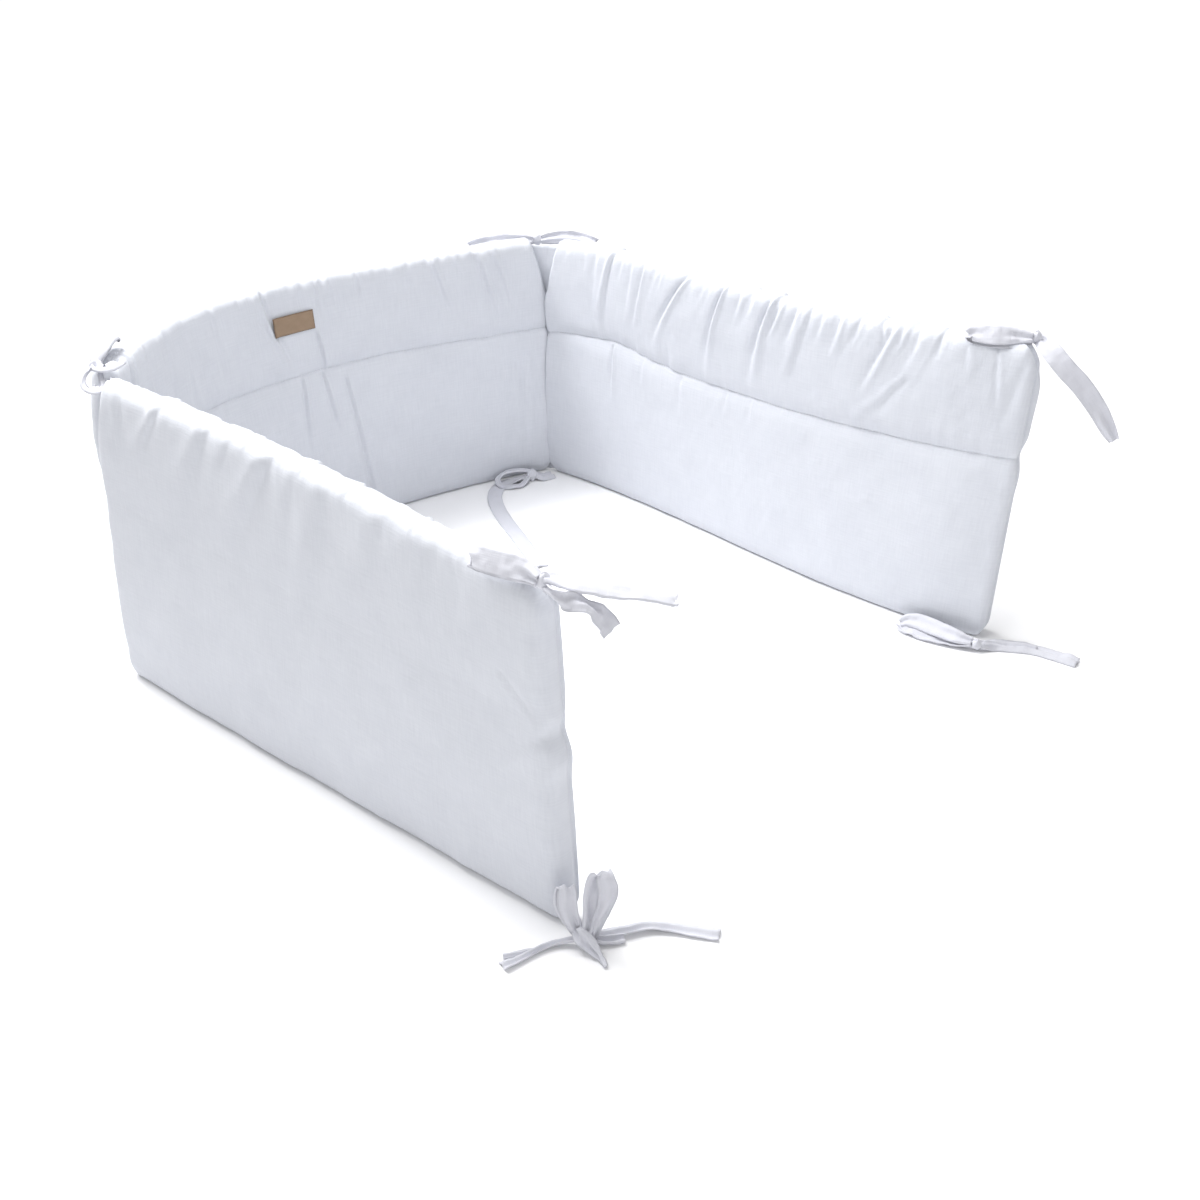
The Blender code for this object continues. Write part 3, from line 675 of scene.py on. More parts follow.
@dataclass(frozen=True)
class TopPuckers:
    """Short folds that run down from the top seam, uneven in length and depth.

    Attributes:
        depth: their depth at the seam.
        reach: how far down they run.
        lean: how far they lean along the panel for each metre down.
        sharpness: how much deeper their troughs are than their ridges are high.
        lengths: how their reach changes along the panel.
        waves: their ridges and troughs.
    """

    depth: float = 0.0017
    reach: float = 0.016
    lean: float = 0.35
    sharpness: float = 0.45
    lengths: Ripple = Ripple(0.012, (0.018, 1.0), 15)
    waves: Ripple = Ripple(1.0, (0.0075, 1.0), 3)

    def relief(self, along: Array, below: Array, seed: int) -> Array:
        """How far the puckers move a face.

        Args:
            along: distances along the panel.
            below: distances below the top seam.
            seed: the pad's seed.

        Returns:
            Offsets outwards.
        """
        slanted = along + below * self.lean
        waves = self.waves.level(slanted, seed)
        reach = self.reach + self.lengths.level(slanted, seed)
        return self.depth * (waves - self.sharpness * np.abs(waves)) * np.exp(-below / reach)


@dataclass(frozen=True)
class SewnLine:
    """The channel of the sewn line and the short puckers that run out of it.

    Attributes:
        channel: depth of the soft channel along the line.
        channel_half: half the channel's width.
        crease: depth of the sharp crease in it.
        crease_half: half the crease's width.
        pucker: depth of the puckers.
        above: the puckers above the line.
        above_reach: how far up they run.
        below: the puckers below it.
        below_reach: how far down they run.
        fan: how they lean this way and that.
        clear: distance from the line over which they begin.
        strength: their mean strength.
        changes: how that changes along the line.
    """

    channel: float = 0.0026
    channel_half: float = 0.009
    crease: float = 0.0015
    crease_half: float = 0.0018
    pucker: float = 0.0013
    above: Ripple = Ripple(1.0, (0.0085, 0.060), 7)
    above_reach: float = 0.016
    below: Ripple = Ripple(0.7, (0.0095, 0.060), 9)
    below_reach: float = 0.011
    fan: Ripple = Ripple(0.15, (0.05, 1.0), 11)
    clear: float = 0.0016
    strength: float = 0.55
    changes: Ripple = Ripple(0.45, (0.07, 1.0), 13)

    def relief(self, along: Array, away: Array, seed: int, gather: float) -> Array:
        """How far the line and its puckers move a face.

        Args:
            along: distances along the panel.
            away: distances above the line, less than 0 below it.
            seed: the pad's seed.
            gather: strength of the gathers above the line.

        Returns:
            Offsets outwards.
        """
        sunk = self.channel * bell(away / self.channel_half) + self.crease * bell(away / self.crease_half)
        fanned = along + away * self.fan.level(along, seed)
        puckers = np.where(
            away > 0,
            self.above.at(fanned, away, seed) * np.exp(-away / self.above_reach) * gather,
            self.below.at(fanned, away, seed) * np.exp(away / self.below_reach),
        )
        strength = (self.strength + self.changes.level(along, seed)) * ease(np.abs(away) / self.clear)
        return self.pucker * puckers * strength - sunk


class Face(Enum):
    """The two faces of a pad."""

    INNER = 1
    OUTER = -1


@dataclass
class Pad:
    """One filled panel, walked with the inside of the U on its right.

    Attributes:
        name: the piece's name.
        node: the solid that it replaces.
        floor_plan: its foot seen from above.
        top_plan: its top seen from above.
        start: its first end seam.
        end: its last end seam.
        top_heights: distances along the panel and the top edge's heights there.
        stitch_heights: distances along the panel and the sewn line's heights there.
        inner_folds: folds of the face inside the U.
        outer_folds: folds of the other face.
        slants: distances along the panel and how far the gathers lean there for each metre up.
        seed: seed of its unevenness.
        gather: strength of its gathers.
        height: height of the panel before its top edge settles.
        half: half its thickness, without the crowns.
        upper_crown: how far a face swells above the sewn line.
        lower_crown: how far it swells below the line.
        foot_half: half the thickness of its flat foot.
        end_reach: how far from an end seam the outer face comes to its full thickness.
        top_reach: how far from the top seam a face does.
        top_blunt: how squarely it rounds over there, 2 for a circle.
        foot_reach: how far from the foot a face does.
        foot_blunt: how squarely it rounds over there.
        line: height of the grid's row that becomes the sewn line.
        column_cell: width of the grid's cells.
        row_cell: their height.
        groove: how deep the seam round the pad is sunk.
        groove_half: half thickness at which the groove along the pad's rim dies away.
        crevice_half: the same for the crevice of an end seam.
        crevice_reach: how far from the end seam its crevice goes.
        thin_reach: how far from an end seam a thinned face stays thin.
        slant_clear: how far from an end seam the gathers' lean begins.
        rim_reach: how far down the folds notch the top edge.
        stitch: half the length of a stitch.
        stitch_pitch: distance from stitch to stitch.
        stitch_margin: distance from the first seam to the first stitch.
        stitch_ends: length without stitches at both ends together.
        puckers: the short folds below the top seam.
        sewn: the sewn line's channel and its puckers.
        unevenness: the layers of unevenness of a face.
        outer_step: what the outer face adds to the seed for them.
        end_ripple: crumples beside the end seams.
        end_ripple_reach: how far from the seams they go.
        line_ripple: how the sewn line wavers.
        top_ripple: how the top edge wavers.
        fold_notch: how much of a fold shows in the top edge.
        pucker_notch: how much of a pucker does.
        shift_reach: how far from an end seam its shift goes.
        shift_edge: height over which it grows, from the foot and from the top.
        inner_swell: where the inner face swells past its end seams: the lowest and the highest
            height, and the width of the edge at each.
        inner_swell_reach: how far from the seams that goes.
        outer_swell: the same heights and edges for the outer face.
        outer_swell_reach: how far from the last seam that goes.
        turns: the grid's turns round a seamed edge, in degrees.
        flat_turns: number of the first of them that the flat foot goes without.
        line_rows: distances of its rows from the sewn line on either side, in millimetres.
    """

    name: str
    node: str
    floor_plan: Plan
    top_plan: Plan
    start: EndSeam
    end: EndSeam
    top_heights: tuple[tuple[float, float], ...]
    stitch_heights: tuple[tuple[float, float], ...]
    inner_folds: tuple[Fold, ...]
    outer_folds: tuple[Fold, ...]
    slants: tuple[tuple[float, float], ...]
    seed: int
    gather: float = 1.0
    height: float = 0.300
    half: float = 0.0135
    upper_crown: float = 0.0025
    lower_crown: float = 0.0030
    foot_half: float = 0.0048
    end_reach: float = 0.015
    top_reach: float = 0.018
    top_blunt: float = 3.2
    foot_reach: float = 0.016
    foot_blunt: float = 2.3
    line: float = 0.186
    column_cell: float = 0.0014
    row_cell: float = 0.0042
    groove: float = 0.0011
    groove_half: float = 0.0012
    crevice_half: float = 0.0022
    crevice_reach: float = 0.003
    thin_reach: float = 0.035
    slant_clear: float = 0.030
    rim_reach: float = 0.006
    stitch: float = 0.0011
    stitch_pitch: float = 0.0034
    stitch_margin: float = 0.006
    stitch_ends: float = 0.016

    puckers: ClassVar[TopPuckers] = TopPuckers()
    sewn: ClassVar[SewnLine] = SewnLine()
    unevenness: ClassVar[tuple[Ripple, ...]] = (
        Ripple(0.0010, (0.060, 0.050)),
        Ripple(0.00050, (0.019, 0.040), slant=0.3),
        Ripple(0.00022, (0.0085, 0.016), slant=-0.4),
    )
    outer_step: ClassVar[int] = 20
    end_ripple: ClassVar[Ripple] = Ripple(0.0008, (0.012, 0.04), 5)
    end_ripple_reach: ClassVar[float] = 0.014
    line_ripple: ClassVar[Ripple] = Ripple(0.0009, (0.035, 1.0), 40)
    top_ripple: ClassVar[Ripple] = Ripple(0.0007, (0.021, 1.0), 17)
    fold_notch: ClassVar[float] = 0.45
    pucker_notch: ClassVar[float] = 0.6
    shift_reach: ClassVar[float] = 0.005
    shift_edge: ClassVar[float] = 0.020
    inner_swell: ClassVar[tuple[float, ...]] = (0.0, 0.246, 0.012, 0.030)
    inner_swell_reach: ClassVar[float] = 0.010
    outer_swell: ClassVar[tuple[float, ...]] = (0.190, 0.285, 0.020, 0.030)
    outer_swell_reach: ClassVar[float] = 0.012
    turns: ClassVar[tuple[float, ...]] = (0, 1.5, 3.5, 6, 9.5, 14, 20, 28, 37, 47, 58, 69, 80, 90)
    flat_turns: ClassVar[int] = 3
    line_rows: ClassVar[tuple[float, ...]] = (12, 9, 6.8, 5, 3.6, 2.5, 1.6, 0.9, 0.4)

    # ---- mid surface

    @property
    def length(self) -> float:
        """Length of the foot from seam to seam."""
        return self.floor_plan.walk(0.0)[1]

    def middle(self, along: Array, height: Array) -> Array:
        """Points of the surface midway between the faces.

        Args:
            along: distances along the foot.
            height: heights on the panel.

        Returns:
            Points in the frame.
        """
        top_length = self.top_plan.walk(0.0)[1]
        low = self.floor_plan.walk(along)[0]
        high = self.top_plan.walk(along * top_length / self.length)[0]
        share = (height / self.height)[..., None]
        flat = low * (1.0 - share) + high * share
        return np.concatenate([flat, height[..., None]], axis=-1)

    def inward(self, along: Array, height: Array) -> Array:
        """Which way the inside of the U is.

        Args:
            along: distances along the foot.
            height: heights on the panel.

        Returns:
            Level unit vectors.
        """
        step = 0.002
        run = unit(self.middle(along + step, height) - self.middle(along - step, height))
        return np.stack([run[..., 1], -run[..., 0], np.zeros_like(along)], axis=-1)

    def stitch_line(self, along: Array) -> Array:
        """Heights of the sewn line at distances along the panel."""
        places, heights = zip(*self.stitch_heights)
        return np.interp(along, places, heights) + self.line_ripple.level(along, self.seed)

    # ---- filling

    @staticmethod
    def rising(distance: Array, reach: float, blunt: float) -> Array:
        """0 at a seam, rounding over to 1 at the reach."""
        share = np.clip(1.0 - distance / reach, 0.0, 1.0)
        return (1.0 - share**blunt) ** (1.0 / blunt)

    def reaches(self, face: Face) -> tuple[float, float]:
        """How far from its first and its last end seam a face comes to its full thickness."""
        outer = (self.end_reach, self.end_reach)
        return (self.start.inner_reach, self.end.inner_reach) if face is Face.INNER else outer

    def half_thickness(self, along: Array, height: Array, ends: tuple[Array, Array], face: Face) -> Array:
        """Distance of a face from the mid surface.

        Args:
            along: distances along the panel.
            height: heights on the panel.
            ends: distances from the first and the last end seam.
            face: which face.

        Returns:
            Distances, one for each place.
        """
        reaches = self.reaches(face)
        sides = self.rising(ends[0], reaches[0], self.start.blunt)
        sides = sides * self.rising(ends[1], reaches[1], self.end.blunt)
        fill = sides * self.rising(self.height - height, self.top_reach, self.top_blunt)
        fill = fill * self.rising(height, self.foot_reach, self.foot_blunt)
        foot = self.foot_half * falling(height / self.foot_reach) * sides
        line = self.stitch_line(along)
        above = np.clip((height - line) / (self.height - line), 0.0, 1.0)
        below = np.clip(height / line, 0.0, 1.0)
        crown = self.upper_crown * np.sin(math.pi * above) + self.lower_crown * np.sin(math.pi * below)
        swell = self.half + crown + self.relief(along, height, ends, face)
        return foot + (swell - foot) * fill

    def relief(self, along: Array, height: Array, ends: tuple[Array, Array], face: Face) -> Array:
        """Folds, gathers and unevenness of a face.

        Args:
            along: distances along the panel.
            height: heights on the panel.
            ends: distances from the first and the last end seam.
            face: which face.

        Returns:
            Offsets outwards.
        """
        inner = face is Face.INNER
        seed = self.seed if inner else self.seed + self.outer_step
        total = sum(fold.relief(along, height) for fold in (self.inner_folds if inner else self.outer_folds))
        total = total + sum(ripple.at(along, height, seed) for ripple in self.unevenness)
        total = total + self.gather * self.puckers.relief(along, self.height - height, self.seed)
        near_end = np.exp(-np.minimum(*ends) / self.end_ripple_reach)
        total = total + near_end * self.end_ripple.at(height, along, self.seed)
        if inner:
            total = total + self.sewn.relief(along, height - self.stitch_line(along), self.seed, self.gather)
        return total

    # ---- grids of points

    def rounded_steps(self, reach: float, blunt: float) -> Array:
        """Distances from a seam at the turns round its edge."""
        return reach * (1.0 - np.cos(np.radians(self.turns)) ** (2.0 / blunt))

    def rows(self) -> Array:
        """Heights of the grid's rows, closest at the foot, the sewn line and the top.

        Returns:
            Rising heights.
        """
        away = np.array(self.line_rows) * MILLIMETRE
        sewn = self.line + np.concatenate([-away, [0.0], away[::-1]])
        round_foot = self.rounded_steps(self.foot_reach, self.foot_blunt)[self.flat_turns :]
        foot = np.concatenate([[0.0], round_foot])
        top = self.height - self.rounded_steps(self.top_reach, self.top_blunt)[::-1]
        return np.concatenate([foot, self.even(foot[-1], sewn[0]), sewn, self.even(sewn[-1], top[0]), top])

    def even(self, low: float, high: float) -> Array:
        """Even values strictly between two others, about a cell apart."""
        return np.linspace(low, high, max(2, round((high - low) / self.row_cell) + 1))[1:-1]

    def columns(self, face: Face) -> Array:
        """Distances along the panel of the grid's columns, for an undrawn seam.

        Args:
            face: which face; both have the same number of columns.

        Returns:
            Rising distances.
        """
        reaches = self.reaches(face)
        first = self.rounded_steps(reaches[0], self.start.blunt)
        last = self.length - self.rounded_steps(reaches[1], self.end.blunt)[::-1]
        count = round((self.length - 2 * self.end_reach) / self.column_cell)
        return np.concatenate([first, np.linspace(first[-1], last[0], count)[1:-1], last])

    def surface(self, shares: Array, nominal: Array, face: Face) -> tuple[Array, Array, Array]:
        """Points of a face.

        Args:
            shares: distances along the panel as shares of its length.
            nominal: heights before the rows follow the sewn line.
            face: which face.

        Returns:
            Points, distances along the panel and heights.
        """
        along, ends = self.gathered(shares, nominal)
        below = np.clip(nominal / self.line, 0.0, 1.0)
        above = np.clip((self.height - nominal) / (self.height - self.line), 0.0, 1.0)
        height = nominal + (self.stitch_line(along) - self.line) * np.minimum(below, above)
        half = self.half_thickness(along, height, ends, face) * (1.0 - self.thinned(ends, face))
        moved = self.crevice(half, ends) + self.leaning(half, ends, height, face)
        aside = half * face.value + self.seam_shift(ends, height)
        inward = self.inward(along, height)
        run = np.stack([-inward[..., 1], inward[..., 0], np.zeros_like(along)], axis=-1)
        point = self.middle(along, height) + inward * aside[..., None] + run * moved[..., None]
        point[..., 2] = self.settled(along, height) + self.rim(along, height, half)
        return point, along, height

    def gathered(self, shares: Array, nominal: Array) -> tuple[Array, tuple[Array, Array]]:
        """Where the grid's columns come to lie, drawn in at the seams and leaning with the gathers.

        Args:
            shares: distances along the panel as shares of its length.
            nominal: heights before the rows follow the sewn line.

        Returns:
            Distances along the panel, and from its first and its last end seam.
        """
        start = self.start.drawn(nominal, self.height)
        end = self.length - self.end.drawn(nominal, self.height)
        along = start + shares * (end - start)
        clear = ease(np.minimum(along - start, end - along) / self.slant_clear)
        slant = np.interp(along, *zip(*self.slants))
        along = along + clear * slant * np.maximum(0.0, nominal - self.line)
        return along, (along - start, end - along)

    def thinned(self, ends: tuple[Array, Array], face: Face) -> Array:
        """Share of a face's thickness that is missing beside the end seams."""
        near = [bell(end / self.thin_reach) for end in ends]
        return (self.start.thin * near[0] + self.end.thin * near[1]) * (face is Face.INNER)

    def crevice(self, half: Array, ends: tuple[Array, Array]) -> Array:
        """How far the end seams' own crevices are sunk.

        Args:
            half: distances of the face from the mid surface.
            ends: distances from the first and the last end seam.

        Returns:
            Distances along the panel.
        """
        near = [bell(end / self.crevice_reach) for end in ends]
        deep = self.groove * bell(half / self.crevice_half)
        return deep * (self.start.groove * near[0] - self.end.groove * near[1])

    def rim(self, along: Array, height: Array, half: Array) -> Array:
        """How far the folds, the puckers and the seam move the top edge.

        Args:
            along: distances along the panel.
            height: heights on the panel.
            half: distances of the face from the mid surface.

        Returns:
            Offsets upwards.
        """
        below = self.height - height
        folds = self.fold_notch * sum(fold.relief(along, height) for fold in self.inner_folds)
        puckers = self.pucker_notch * self.gather * self.puckers.relief(along, below, self.seed)
        sunk = self.groove * bell(half / self.groove_half) * bell(below / (self.rim_reach / 2))
        return bell(below / self.rim_reach) * (folds + puckers) - sunk

    def seam_shift(self, ends: tuple[Array, Array], height: Array) -> Array:
        """How far the faces sit towards the inside of the U beside an end seam.

        Args:
            ends: distances from the first and the last end seam.
            height: heights on the panel.

        Returns:
            Distances inwards.
        """
        near = [np.exp(-end / self.shift_reach) for end in ends]
        shift = self.start.shift * near[0] + self.end.shift * near[1]
        return shift * band(height, 0.0, self.height, self.shift_edge, self.shift_edge)

    def leaning(self, half: Array, ends: tuple[Array, Array], height: Array, face: Face) -> Array:
        """How far a face swells past its end seams.

        Args:
            half: distances of the face from the mid surface.
            ends: distances from the first and the last end seam.
            height: heights on the panel.
            face: which face.

        Returns:
            Distances along the panel.
        """
        full = (half / self.half) ** 2
        if face is Face.OUTER:
            lean = self.end.outer_lean * np.exp(-ends[1] / self.outer_swell_reach)
            return full * band(height, *self.outer_swell) * lean
        near = [np.exp(-end / self.inner_swell_reach) for end in ends]
        lean = self.end.inner_lean * near[1] - self.start.inner_lean * near[0]
        return full * band(height, *self.inner_swell) * lean

    def settled(self, along: Array, height: Array) -> Array:
        """Heights with the upper band settled to the panel's own top edge.

        Args:
            along: distances along the panel.
            height: heights on the unsettled panel.

        Returns:
            Heights above the floor.
        """
        top = np.interp(along, *zip(*self.top_heights))
        drop = self.height - top + self.top_ripple.level(along, self.seed)
        return height - drop * np.clip((height - self.line) / (self.height - self.line), 0.0, 1.0)

    def grid(self, face: Face) -> tuple[Array, Array]:
        """Points of a face and their places on the flat cloth.

        Args:
            face: which face.

        Returns:
            Rows of points, and rows of places in millimetres.
        """
        shares, nominal = np.meshgrid(self.columns(face) / self.length, self.rows())
        points, along, height = self.surface(shares, nominal, face)
        return points, np.stack([along, height], axis=-1) / MILLIMETRE

    # ---- pieces

    def build(self, cotton: bpy.types.Material, thread: bpy.types.Material) -> list[bpy.types.Object]:
        """Make the pad and its stitches and tie them to the frame.

        Args:
            cotton: finish of the pad.
            thread: finish of the stitches.

        Returns:
            The pad and its stitches.
        """
        inner, inner_cloth = self.grid(Face.INNER)
        outer, outer_cloth = self.grid(Face.OUTER)
        pad = closed_sheet(self.name, inner, outer, inner_cloth, outer_cloth, cotton, open_foot=True)
        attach(pad, ROOT)
        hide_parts(self.node)
        return [pad, self.stitches(thread)]

    def stitches(self, thread: bpy.types.Material) -> bpy.types.Object:
        """Make the thread that shows along the sewn line and tie it to the frame.

        Args:
            thread: its finish.

        Returns:
            One object.
        """
        drawn = float(self.start.drawn(np.array([self.line]), self.height)[0])
        count = int((self.length - self.stitch_ends) / self.stitch_pitch)
        shares = (self.stitch_margin + np.arange(count) * self.stitch_pitch) / (self.length - 2 * drawn)
        offset = self.stitch / self.length
        level = np.full(count, self.line)
        first, last = (self.surface(shares + turn * offset, level, Face.INNER)[0] for turn in (-1, 1))
        normals = self.inward(shares * self.length, level)
        return thread_run(f"{self.name}_stitches", first, last, normals, thread)


# ---------------------------------------------------------------- meshes


def tube_faces(rings: int, sides: int, base: int = 0) -> list[tuple[int, ...]]:
    """Faces of a tube of points, one ring after another.

    Args:
        rings: number of rings.
        sides: number of points in a ring.
        base: number of the first point.

    Returns:
        Vertex numbers of each face, with a cap at both ends.
    """
    faces = [tuple(base + side for side in reversed(range(sides)))]
    for ring in range(rings - 1):
        low = base + ring * sides
        for side in range(sides):
            following = (side + 1) % sides
            faces.append((low + side, low + following, low + sides + following, low + sides + side))
    faces.append(tuple(base + (rings - 1) * sides + side for side in range(sides)))
    return faces


def thread_run(
    name: str, starts: Array, ends: Array, normals: Array, thread: bpy.types.Material
) -> bpy.types.Object:
    """Many short stitches, each a bowed strand that dips at both ends.

    Args:
        name: the piece's name.
        starts: where each stitch comes out of the cloth.
        ends: where it goes back in.
        normals: outward unit vectors of the cloth.
        thread: its finish.

    Returns:
        One object.
    """
    radius, slimmest, bow, dip = 0.00032, 0.55, 0.0004, 0.0002
    stitch_mm, turn_mm = 2.2, 1.0 / 6.0
    sides, rings = 6, 6
    share = np.linspace(0.0, 1.0, rings)[:, None, None]
    angle = np.linspace(0.0, 2 * math.pi, sides, endpoint=False)[:, None]
    arch = np.sin(math.pi * share)
    across = np.cross(normals, unit(ends - starts))
    points, faces, cloth = [], [], []
    for start, end, normal, aside in zip(starts, ends, normals, across):
        faces += tube_faces(rings, sides, len(points))
        centre = start + (end - start) * share + normal * (arch * bow - dip)
        around = aside * np.cos(angle) + normal * np.sin(angle)
        points += list((centre + around * radius * (slimmest + (1.0 - slimmest) * arch)).reshape(-1, 3))
        cloth += [(place * stitch_mm, turn * turn_mm) for place in share[:, 0, 0] for turn in angle[:, 0]]
    thing = mesh_object(name, points, faces, cloth, thread)
    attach(thing, ROOT)
    return thing


def mesh_object(
    name: str,
    points: Iterable[Any],
    faces: list[tuple[int, ...]],
    cloth: Iterable[Any],
    material: bpy.types.Material,
) -> bpy.types.Object:
    """A smooth object with places on the flat cloth as its UV map.

    Args:
        name: object and mesh name.
        points: vertex positions.
        faces: vertex numbers of each face.
        cloth: place of each vertex on the flat cloth, in millimetres.
        material: its finish.

    Returns:
        The linked object.
    """
    mesh = bpy.data.meshes.new(name)
    mesh.from_pydata([tuple(map(float, point)) for point in points], [], faces)
    places = np.array([tuple(map(float, place)) for place in cloth])
    layer = mesh.uv_layers.new(name=WEAVE_MAP)
    corners = np.zeros(len(mesh.loops), dtype=np.int64)
    mesh.loops.foreach_get("vertex_index", corners)
    layer.data.foreach_set("uv", places[corners].astype(np.float32).ravel())
    mesh.materials.append(material)
    mesh.shade_smooth()
    mesh.validate()
    thing = bpy.data.objects.new(name, mesh)
    bpy.context.scene.collection.objects.link(thing)
    return thing


def closed_sheet(
    name: str,
    inner: Array,
    outer: Array,
    inner_cloth: Array,
    outer_cloth: Array,
    material: bpy.types.Material,
    open_foot: bool = False,
) -> bpy.types.Object:
    """A closed object from the grids of its two faces.

    Args:
        name: object name.
        inner: grid of points on the inner face.
        outer: grid of points on the outer face.
        inner_cloth: places of the inner points on the cloth.
        outer_cloth: places of the outer points on the cloth.
        material: its finish.
        open_foot: whether the faces share their other rims, so that only the foot has a strip.

    Returns:
        The linked object.
    """
    rows, columns = inner.shape[:2]
    number = np.arange(rows * columns).reshape(rows, columns)
    back = number + rows * columns
    points = np.concatenate([inner.reshape(-1, 3), outer.reshape(-1, 3)])
    cloth = np.concatenate([inner_cloth.reshape(-1, 2), outer_cloth.reshape(-1, 2)])
    if open_foot:
        rim = np.zeros((rows, columns), bool)
        rim[:, 0] = rim[:, -1] = rim[-1] = True
        points[number[rim]] = (points[number[rim]] + points[back[rim]]) / 2
        back[rim] = number[rim]

    def quads(grid: Array) -> Array:
        """Faces of one grid."""
        return np.stack([grid[:-1, :-1], grid[:-1, 1:], grid[1:, 1:], grid[1:, :-1]], axis=-1).reshape(-1, 4)

    def strip(first: Array, second: Array) -> Array:
        """Faces between two rims."""
        return np.stack([second[:-1], second[1:], first[1:], first[:-1]], axis=-1)

    faces = [quads(number), quads(back)[:, ::-1], strip(number[0], back[0])]
    if not open_foot:
        faces.append(strip(back[-1], number[-1]))
        faces.append(strip(back[:, 0], number[:, 0]))
        faces.append(strip(number[:, -1], back[:, -1]))
    clean = [tuple(dict.fromkeys(face)) for face in np.concatenate(faces).tolist()]
    used = sorted({spot for face in clean for spot in face})
    renumber = {spot: place for place, spot in enumerate(used)}
    kept = [tuple(renumber[spot] for spot in face) for face in clean if len(face) > 2]
    return mesh_object(name, points[used], kept, cloth[used], material)


# ---------------------------------------------------------------- corner strips and patch


@dataclass
class CornerStrip:
    """The unfilled cloth that joins two pads round a corner.

    Attributes:
        name: the piece's name.
        node: the solid that it replaces.
        before: the pad that ends at the corner.
        after: the pad that starts there.
        seed: seed of its crumples.
        half: half the cloth's thickness.
        foot: height of its lower edge.
        top: height of its upper edge.
        bulge: how far it bows out of the corner.
        forward: how far its edges sit towards the inside of the U.
        gap: how far its edges stand off the pads' seams.
        columns: number of the grid's columns.
        rows: number of its rows.
        crumple: its unevenness, least at the edges.
    """

    name: str
    node: str
    before: Pad
    after: Pad
    seed: int = 3
    half: float = 0.0006
    foot: float = 0.002
    top: float = 0.293
    bulge: float = 0.001
    forward: float = 0.0065
    gap: float = 0.0004
    columns: int = 17
    rows: int = 90
    crumple: Ripple = Ripple(0.0009, (0.008, 0.035))

    def edge(self, pad: Pad, side: int, heights: Array) -> tuple[Array, Array]:
        """One upright edge of the strip, beside a pad's end seam.

        Args:
            pad: the pad.
            side: 1 at the pad's last end seam, -1 at its first.
            heights: heights of the strip's rows.

        Returns:
            Points, and the way inwards at each of them.
        """
        seam, along, height = pad.surface(np.full(len(heights), (1.0 + side) / 2), heights, Face.INNER)
        inward = pad.inward(along, height)
        return seam + side * np.cross(UPRIGHT, inward) * self.gap + inward * self.forward, inward

    def build(self, cotton: bpy.types.Material) -> list[bpy.types.Object]:
        """Make the strip and tie it to the frame.

        Args:
            cotton: its finish.

        Returns:
            The strip.
        """
        heights = np.linspace(self.foot, self.top, self.rows)
        start, start_inward = self.edge(self.before, 1, heights)
        end, end_inward = self.edge(self.after, -1, heights)
        bend = (start + end) / 2 - unit(start_inward + end_inward) * 2 * self.bulge
        share = np.linspace(0.0, 1.0, self.columns)[None, :, None]
        rest = 1.0 - share
        middle = rest**2 * start[:, None] + 2 * rest * share * bend[:, None] + share**2 * end[:, None]
        run = np.gradient(middle, axis=1)
        run[..., 2] = 0.0
        side = np.cross(unit(run), UPRIGHT)
        wide = np.linalg.norm(end - start, axis=1).max() + self.bulge
        across, up = np.meshgrid(np.linspace(0, wide, self.columns), heights)
        crumple = self.crumple.at(across, up, self.seed) * np.sin(math.pi * share[..., 0])
        middle = middle + side * crumple[..., None]
        cloth = np.stack([across, up], axis=-1) / MILLIMETRE
        front, back = middle + side * self.half, middle - side * self.half
        strip = closed_sheet(self.name, front, back, cloth, cloth, cotton)
        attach(strip, ROOT)
        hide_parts(self.node)
        cells = np.cross(np.gradient(middle, axis=0), np.gradient(middle, axis=1))
        high = self.top - self.foot
        area = float(np.linalg.norm(cells, axis=-1).sum())
        area / high
        return [strip]


@dataclass
class Patch:
    """The small blank patch on the head panel's inner face.

    Attributes:
        pad: the pad that it is sewn on.
        name: the piece's name.
        node: the solid that it replaces.
        x: where its upright edges are along the pad.
        z: where its level edges are up the pad.
        thickness: its thickness.
        gap: how far it stands off the pad.
        edge_round: how far its front rounds over at the edges.
        edge_share: thickness of its very edge, as a share of its thickness.
        follow: how closely it follows the pad's folds.
        columns: number of the grid's columns.
        rows: number of its rows.
    """

    pad: Pad
    name: str = "patch"
    node: str = "blank_patch"
    x: tuple[float, float] = (0.268, 0.316)
    z: tuple[float, float] = (0.2395, 0.2600)
    thickness: float = 0.0012
    gap: float = 0.0003
    edge_round: float = 0.0008
    edge_share: float = 0.35
    follow: float = 0.35
    columns: int = 33
    rows: int = 15

    def build(self, leather: bpy.types.Material) -> list[bpy.types.Object]:
        """Make the patch and tie it to the frame.

        Args:
            leather: its finish.

        Returns:
            The patch.
        """
        along, height = np.meshgrid(np.linspace(*self.x, self.columns), np.linspace(*self.z, self.rows))
        face = self.pad.half_thickness(along, height, (along, self.pad.length - along), Face.INNER)
        lift = face.max(axis=0) * self.follow + face.max() * (1.0 - self.follow) + self.gap
        lift = np.broadcast_to(lift, along.shape)
        (left, right), (low, high) = self.x, self.z
        edge = np.minimum.reduce([along - left, right - along, height - low, high - height])
        rounding = np.sqrt(1.0 - (1.0 - np.clip(edge / self.edge_round, 0.0, 1.0)) ** 2)
        thickness = self.thickness * (self.edge_share + (1.0 - self.edge_share) * rounding)
        middle, side = self.pad.middle(along, height), self.pad.inward(along, height)
        front, behind = middle + side * (lift + thickness)[..., None], middle + side * lift[..., None]
        cloth = np.stack([along - left, height - low], axis=-1) / MILLIMETRE
        patch = closed_sheet(self.name, front, behind, cloth, cloth, leather)
        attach(patch, ROOT)
        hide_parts(self.node)
        return [patch]


# ---------------------------------------------------------------- ties


